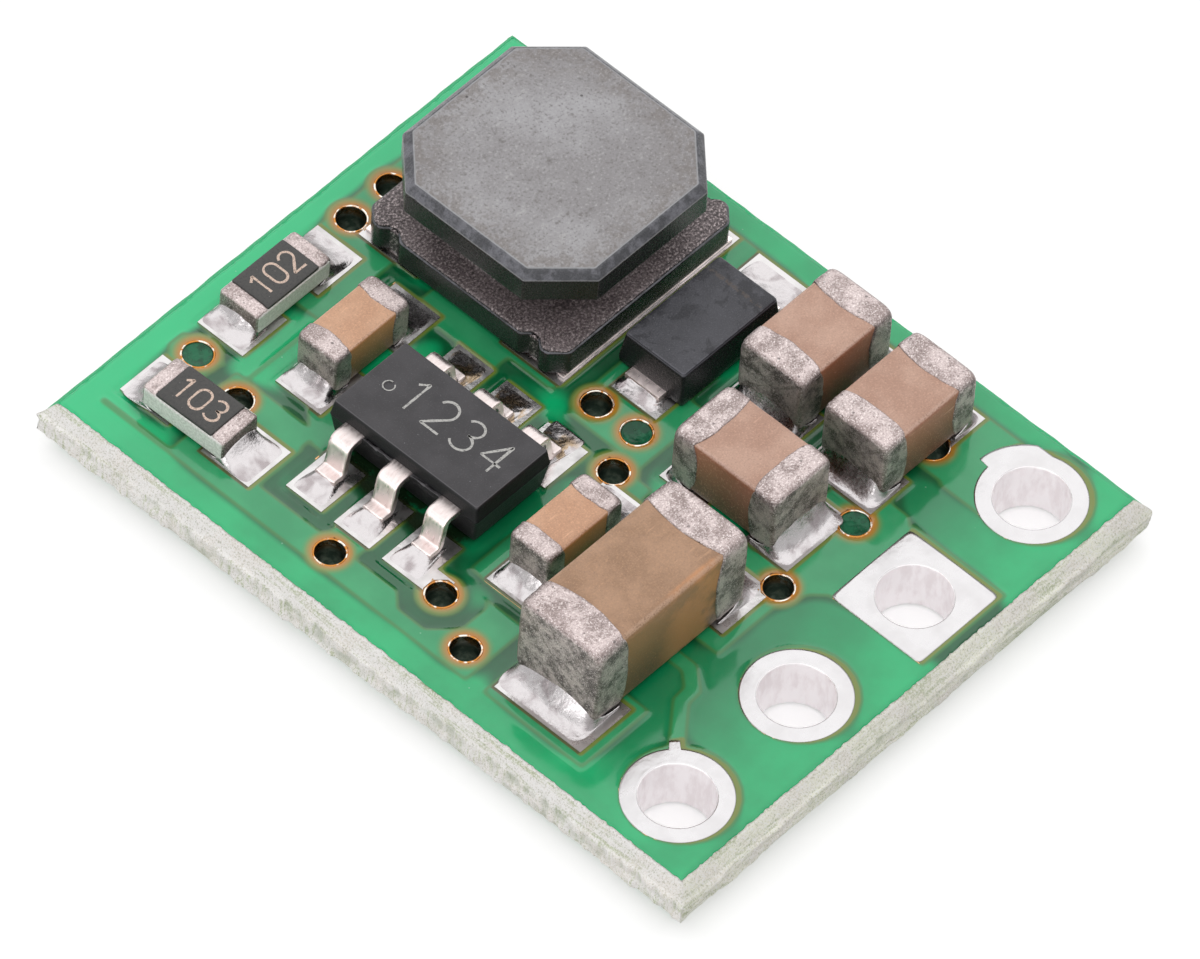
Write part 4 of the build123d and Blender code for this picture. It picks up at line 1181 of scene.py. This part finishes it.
piece("diode_body", [diode_body()], diode_moulding, ["diode_case"])
pools = [pool(diode_spot, 1, metal=(1.25, 0.45), land=(1.85, 0.50), back=0.72, climb=0.10),
         pool(diode_spot, -1, metal=(1.25, 0.33), land=(1.46, 0.42), back=0.80, climb=0.10)]
piece("diode_pools", pools, bright_solder, ["diode_solder"])


# Inductor: a ferrite drum. The lower flange is a square with cut corners and a notch for each wire
# end, the upper one an octagon with a ground top and a bevelled rim. The winding between them is
# sealed with dark resin full of bright iron grains, which also skins the lower flange.
inductor_spot = (2.44, 3.18)
inductor_half = 1.975
base_low, base_high = seat + 0.04, seat + 0.50
crown_low, crown_high = seat + 1.22, seat + 1.80


def notched_base():
    """The lower flange's corners, anticlockwise, with a slanting notch near each end of the left and
    right sides."""
    half, cut, notch, slant = inductor_half, 0.25, 0.12, 0.13
    near, far = 1.19, 1.59
    below = [(half, -far), (half - notch, -far + slant), (half - notch, -near - slant), (half, -near)]
    above = [(x, -y) for x, y in below[::-1]]
    right = [(half, -half + cut), *below, *above, (half, half - cut)]
    front = [(-half + cut, -half), (half - cut, -half)]
    return front + right + [(-x, -y) for x, y in front + right]


def octagon(half, cut):
    """A square's corners, each cut off."""
    return [(-half + cut, -half), (half - cut, -half), (half, -half + cut), (half, half - cut),
            (half - cut, half), (-half + cut, half), (-half, half - cut), (-half, -half + cut)]


def upright(low, high, count):
    """Profile rows straight up."""
    return [(z, 0.0) for z in np.linspace(low, high, count)]


def ferrite(points, closed, chalk=0.0, margin=0.0, edge=0.0):
    """A patch of the core: chalk is 1 on the ground top, margin rises to its rim, edge is a painted
    highlight along the bevel's edges.
    """
    return patch(points, **closed, chalk=chalk, margin=margin, edge=edge)


def lower_flange():
    """The base plate, with slightly worn edges."""
    profile = eased_edge(base_low, 0, 0.03, -1) + upright(base_low + 0.06, base_high - 0.05, 6)
    profile += eased_edge(base_high, 0, 0.03)
    return ferrite(*moulded(notched_base(), profile, 0.15, inductor_spot, caps=(3, 6), straight=8,
                            uneven=0.0022))


def upper_flange():
    """The octagon: soft lower edge, upright sides, a bevel whose two edges carry a painted highlight
    where they are not chipped, and a flat top that was ground. Small chips bite into the bevel's edges."""
    bevel, lower_edge_row, upper_edge_row, top_rows = 0.13, 16, 23, 25
    knee = crown_high - bevel
    profile = eased_edge(crown_low, 0, 0.04, -1) + upright(crown_low + 0.07, knee - 0.03, 7)
    profile += [(knee - 0.012, 0.0015), (knee, 0.006), (knee + 0.012, 0.016)]
    profile += [(knee + bevel * t, bevel * t) for t in (0.25, 0.5, 0.75, 0.88)]
    profile += [(crown_high - 0.006, bevel + 0.004), (crown_high - 0.001, bevel + 0.016)]
    profile += [(crown_high, bevel + 0.034)]
    points, closed = moulded(octagon(1.95, 0.78), profile, 0.06, inductor_spot, caps=(3, 24), straight=40)
    rows, columns = points.shape[:2]
    worn = np.minimum(cloud(rows, columns, 5, columns / 5, 3, closed=True) + 0.55, 0)
    edge = (points[..., 2] > knee - 0.05) & (points[..., 2] < crown_high - 0.0005)
    points[..., :2] += (points[..., :2] - inductor_spot) * (0.010 * worn * edge)[..., None]
    order = np.arange(rows)[:, None]
    top = order >= rows - top_rows
    margin = step((rows - order) / top_rows, 0.62, 1.0) * top
    # rows on the bevel's two edges, for a painted highlight that stops where chips bite in
    bevel_highlight = 0.55 * (order == lower_edge_row) + 1.0 * (order == upper_edge_row)
    return ferrite(points, closed, top, margin, bevel_highlight * step(worn, -0.75, 0.0))


def drum_post():
    """The post that carries the winding, between the two flanges."""
    corners = np.stack([0.95 * np.cos(circle(24)), 0.95 * np.sin(circle(24))], 1)
    profile = upright(base_high - 0.02, crown_low + 0.02, 4)
    return ferrite(*moulded(corners, profile, 0.05, inductor_spot, caps=(1, 1), straight=2))


@material
def ground_ferrite(shade):
    """Fired ferrite: greenish black and smooth on the sides, ground grey on top with cloudy smears
    and dark pits, streaked on the bevel, with a painted highlight along the bevel's edges."""
    clouds, fine, dust = shade.grain(0.65, 6, 0.66), shade.grain(22, 4, 0.7), shade.grain(4, 5, 0.76)
    top = shade.field("chalk").rise(0.4, 0.9)
    pits = shade.cells(3.6).rise(0.085, 0.045) * clouds.rise(0.40, 0.60)
    ground = clouds.rise(0.34, 0.68).mix((0.250, 0.238, 0.243), (0.362, 0.354, 0.366)).coated(
        (shade.field("margin") * dust.rise(0.40, 0.58) * 0.8, (0.165, 0.145, 0.135)),
        (dust.rise(0.55, 0.72) * 0.45, (0.48, 0.47, 0.47)),
        (dust.rise(0.45, 0.30) * 0.8, (0.135, 0.123, 0.118)),
        (fine.rise(0.46, 0.34) * 0.7, (0.125, 0.113, 0.110)),
        (fine.rise(0.56, 0.68) * 0.5, (0.50, 0.49, 0.49)),
        (pits * 0.8, (0.050, 0.046, 0.044)))
    streaks = dust.rise(0.42, 0.62).mix((0.046, 0.047, 0.055), (0.150, 0.150, 0.172))
    side = fine.rise(0.35, 0.68).mix((0.008, 0.008, 0.008), (0.020, 0.020, 0.019)).coated(
        (dust.rise(0.56, 0.74) * 0.5, (0.075, 0.075, 0.073)),
        (shade.field("up").rise(0.35, 0.65) * 0.85, streaks))
    # painted highlight along the bevel's two edges
    body = (shade.field("edge") * 0.85).mix(top.mix(side, ground), (0.40, 0.40, 0.41))
    roughness = top.rise(0, 1, 0.22, 0.46) + fine.rough(0, 0.10)
    return body, roughness, (fine - pits * 2, 0.008), {"Specular IOR Level": 0.45}


def sealed_winding():
    """Resin: a skin over the lower flange that runs up in a fillet round the winding to the upper
    flange. Each row goes part of the way from the flange's outline to a circle."""
    outline = rounded_ring(notched_base(), 0.03, 0.15, 8)
    circled = outline / np.linalg.norm(outline, axis=1)[:, None] * 1.50
    share = np.array([[0, 0, 0.015, 0.05, 0.15, 0.3, 0.45, 0.6, 0.75, 0.85, 0.92, 0.97, 1, 1, 1, 1, 1, 1]]).T
    lift = np.array([[-0.03, 0.015, 0.032, 0.038, 0.04, 0.04, 0.04, 0.04, 0.045, 0.055, 0.075, 0.11, 0.17,
                      0.27, 0.40, 0.52, 0.64, 0.715]]).T
    rings = outline * (1 - share[..., None]) + circled * share[..., None]
    rings = rings * (1 + 0.004 * cloud(18, len(outline), 4, 40, 3, closed=True))[..., None]
    uneven = 0.008 * cloud(18, len(outline), 5, 60, 2, closed=True) * ((share > 0.02) & (share < 1))
    top = crown_low - 0.003
    points = np.dstack([rings + inductor_spot, np.minimum(base_high + lift + uneven, top)])
    return patch(points, around=True, start=(*inductor_spot, base_high - 0.03), end=(*inductor_spot, top))


@material
def iron_resin(shade):
    """Dark brown-grey resin crowded with bright and rusty iron grains; painted shade takes its sloped
    and upright faces nearly to black.
    """
    fine = shade.grain(26, 3, 0.75)
    body = shade.grain(1.5, 3).rise(0.35, 0.65).mix((0.100, 0.078, 0.080), (0.165, 0.132, 0.135)).coated(
        # painted shade on sloped and upright faces
        (shade.field("up").rise(0.7, 0.2) * 0.9, (0.012, 0.011, 0.011)),
        (fine.rise(0.53, 0.61) * 0.85, (0.48, 0.41, 0.41)),
        (fine.rise(0.47, 0.38) * 0.85, (0.022, 0.017, 0.017)))
    others = {"Metallic": fine.rise(0.55, 0.65, 0.0, 0.6), "Specular IOR Level": 0.4}
    return body, fine.rise(0.35, 0.65, 0.50, 0.30), (fine, 0.014), others


def notch_fill(side_x, side_y):
    """Resin that ran down one of the lower flange's notches."""
    spot = (inductor_spot[0] + side_x * 1.83, inductor_spot[1] + side_y * 1.39)
    profile = eased_edge(base_low + 0.01, 0, 0.02, -1) + upright(base_low + 0.05, base_high - 0.06, 5)
    profile += eased_edge(base_high, 0, 0.04)
    points, closed = moulded(box_corners(0.045, 0.10), profile, 0.04, spot, caps=(2, 3), straight=8,
                             uneven=0.004)
    return patch(points, **closed)


core = [lower_flange(), upper_flange(), drum_post()]
piece("drum_core", core, ground_ferrite, ["inductor_core"])
sealing = [sealed_winding()] + [notch_fill(x, y) for x in (-1, 1) for y in (-1, 1)]
piece("sealing_resin", sealing, iron_resin, ["inductor_resin"])


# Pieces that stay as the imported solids: the flat terminals, the diode's tabs, the inductor's
# solder, the winding and the two dies. Each gets the finish of what it is made of.
@material
def enamelled_wire(shade):
    """Enamelled copper wire, seen as fine turns one above the other."""
    turns = shade.maths("SINE", shade.height() * 80.0)
    body = turns.rise(-1, 1).mix((0.30, 0.12, 0.04), (0.62, 0.30, 0.12))
    return body, shade.grain(9, 2).rough(0.22, 0.34), (turns, 0.006), all_metal


@material
def sawn_silicon(shade):
    """Sawn silicon: dark mirror grey, faintly streaked by the saw."""
    streaks = shade.grain(14, 3, 0.6, (0.1, 2.0, 0.1))
    body = streaks.rise(0.35, 0.65).mix((0.20, 0.21, 0.24), (0.34, 0.35, 0.39))
    return body, streaks.rough(0.12, 0.22), (streaks, 0.002), {"Metallic": 0.9}


dress(tinned_lead, "inductor_terminal_front", "inductor_terminal_back", "diode_anode_tab",
      "diode_cathode_tab")
dress(bright_solder, "inductor_solder")
dress(enamelled_wire, "inductor_winding")
dress(sawn_silicon, "regulator_die", "diode_die")


# Surroundings: a pale floor under the board, a white world that the camera and bright metal see,
# a wide soft lamp above and behind the board and a weak one on the left.
def seen_directly(shade):
    """1 for rays from the camera, from glossy and from clear surfaces."""
    path = [shade.node("ShaderNodeLightPath", out=out) for out in (0, 3, 6)]
    return (path[0] + path[1] + path[2]).rise(0, 1)


@material
def pale_floor(shade):
    """Off-white paper, barely mottled, lit up to white where it is seen directly."""
    body = shade.grain(0.02, 2).rise(0.3, 0.7).mix((0.66, 0.66, 0.66), (0.68, 0.68, 0.68))
    glow = seen_directly(shade).mix((0, 0, 0), (0.40, 0.40, 0.40))
    return body, 0.9, None, {"Specular IOR Level": 0.0, "Emission Strength": 1.0, "Emission Color": glow}


floor_mesh = bpy.data.meshes.new("floor")
floor_mesh.from_pydata([(x / 2, y / 2, -2e-5) for x, y in box_corners(1, 1)], [], [(0, 1, 2, 3)])
floor_mesh.materials.append(pale_floor)
new_object("floor", floor_mesh)

scene = bpy.context.scene
scene.world = bpy.data.worlds.new("studio")
scene.world.use_nodes = True
scene.world.node_tree.nodes.clear()
air = Shade(scene.world.node_tree)
strength = seen_directly(air) * 0.65 + 0.35
sky = air.node("ShaderNodeBackground", values={"Color": (1, 1, 1, 1), "Strength": strength})
air.node("ShaderNodeOutputWorld", values={0: sky})

for name, energy, size, place, tilt in (("overhead", 0.93 * np.pi * 1.3 ** 2, 1.3, (0.22, 0.18, 0.42), 0),
                                        ("left", 0.65, 0.3, (-0.5, 0.0, 0.12), -77)):
    light = bpy.data.lights.new(name, "AREA")
    light.energy, light.size = energy, size
    lamp = new_object(name, light)
    lamp.location, lamp.rotation_euler = place, (0, np.radians(tilt), 0)


# Camera: the photograph's long lens, held above the near corner; its place and tilt were solved
# from the pin holes, the board's corners and the upright edges.
heading, climb, roll = -0.8938687316898887, 0.9034524219739627, 0.08445656501927001
slide, distance, focal = (-0.054002, 0.436407), 252.8374, 17439.046
solved_level, photo_width = 0.945, 1200
back = np.array([np.sin(heading) * np.cos(climb), -np.cos(heading) * np.cos(climb), np.sin(climb)])
right = np.array([np.cos(heading), np.sin(heading), 0.0])
up = np.cross(back, right)
c, s = np.cos(roll), np.sin(roll)
axes = np.stack([c * right + s * up, -s * right + c * up, back])
spot = (np.array([-slide[0], -slide[1], distance]) @ axes + (0, 0, solved_level)) * mm
lens = bpy.data.cameras.new("photograph")
lens.sensor_width, lens.sensor_fit = 36, "HORIZONTAL"
lens.lens = focal / photo_width * lens.sensor_width
lens.clip_start, lens.clip_end = 0.001, 10
scene.camera = new_object("photograph", lens)
scene.camera.matrix_world = Matrix.Translation(spot) @ Matrix(axes.T.tolist()).to_4x4()
scene.view_settings.view_transform = "Standard"
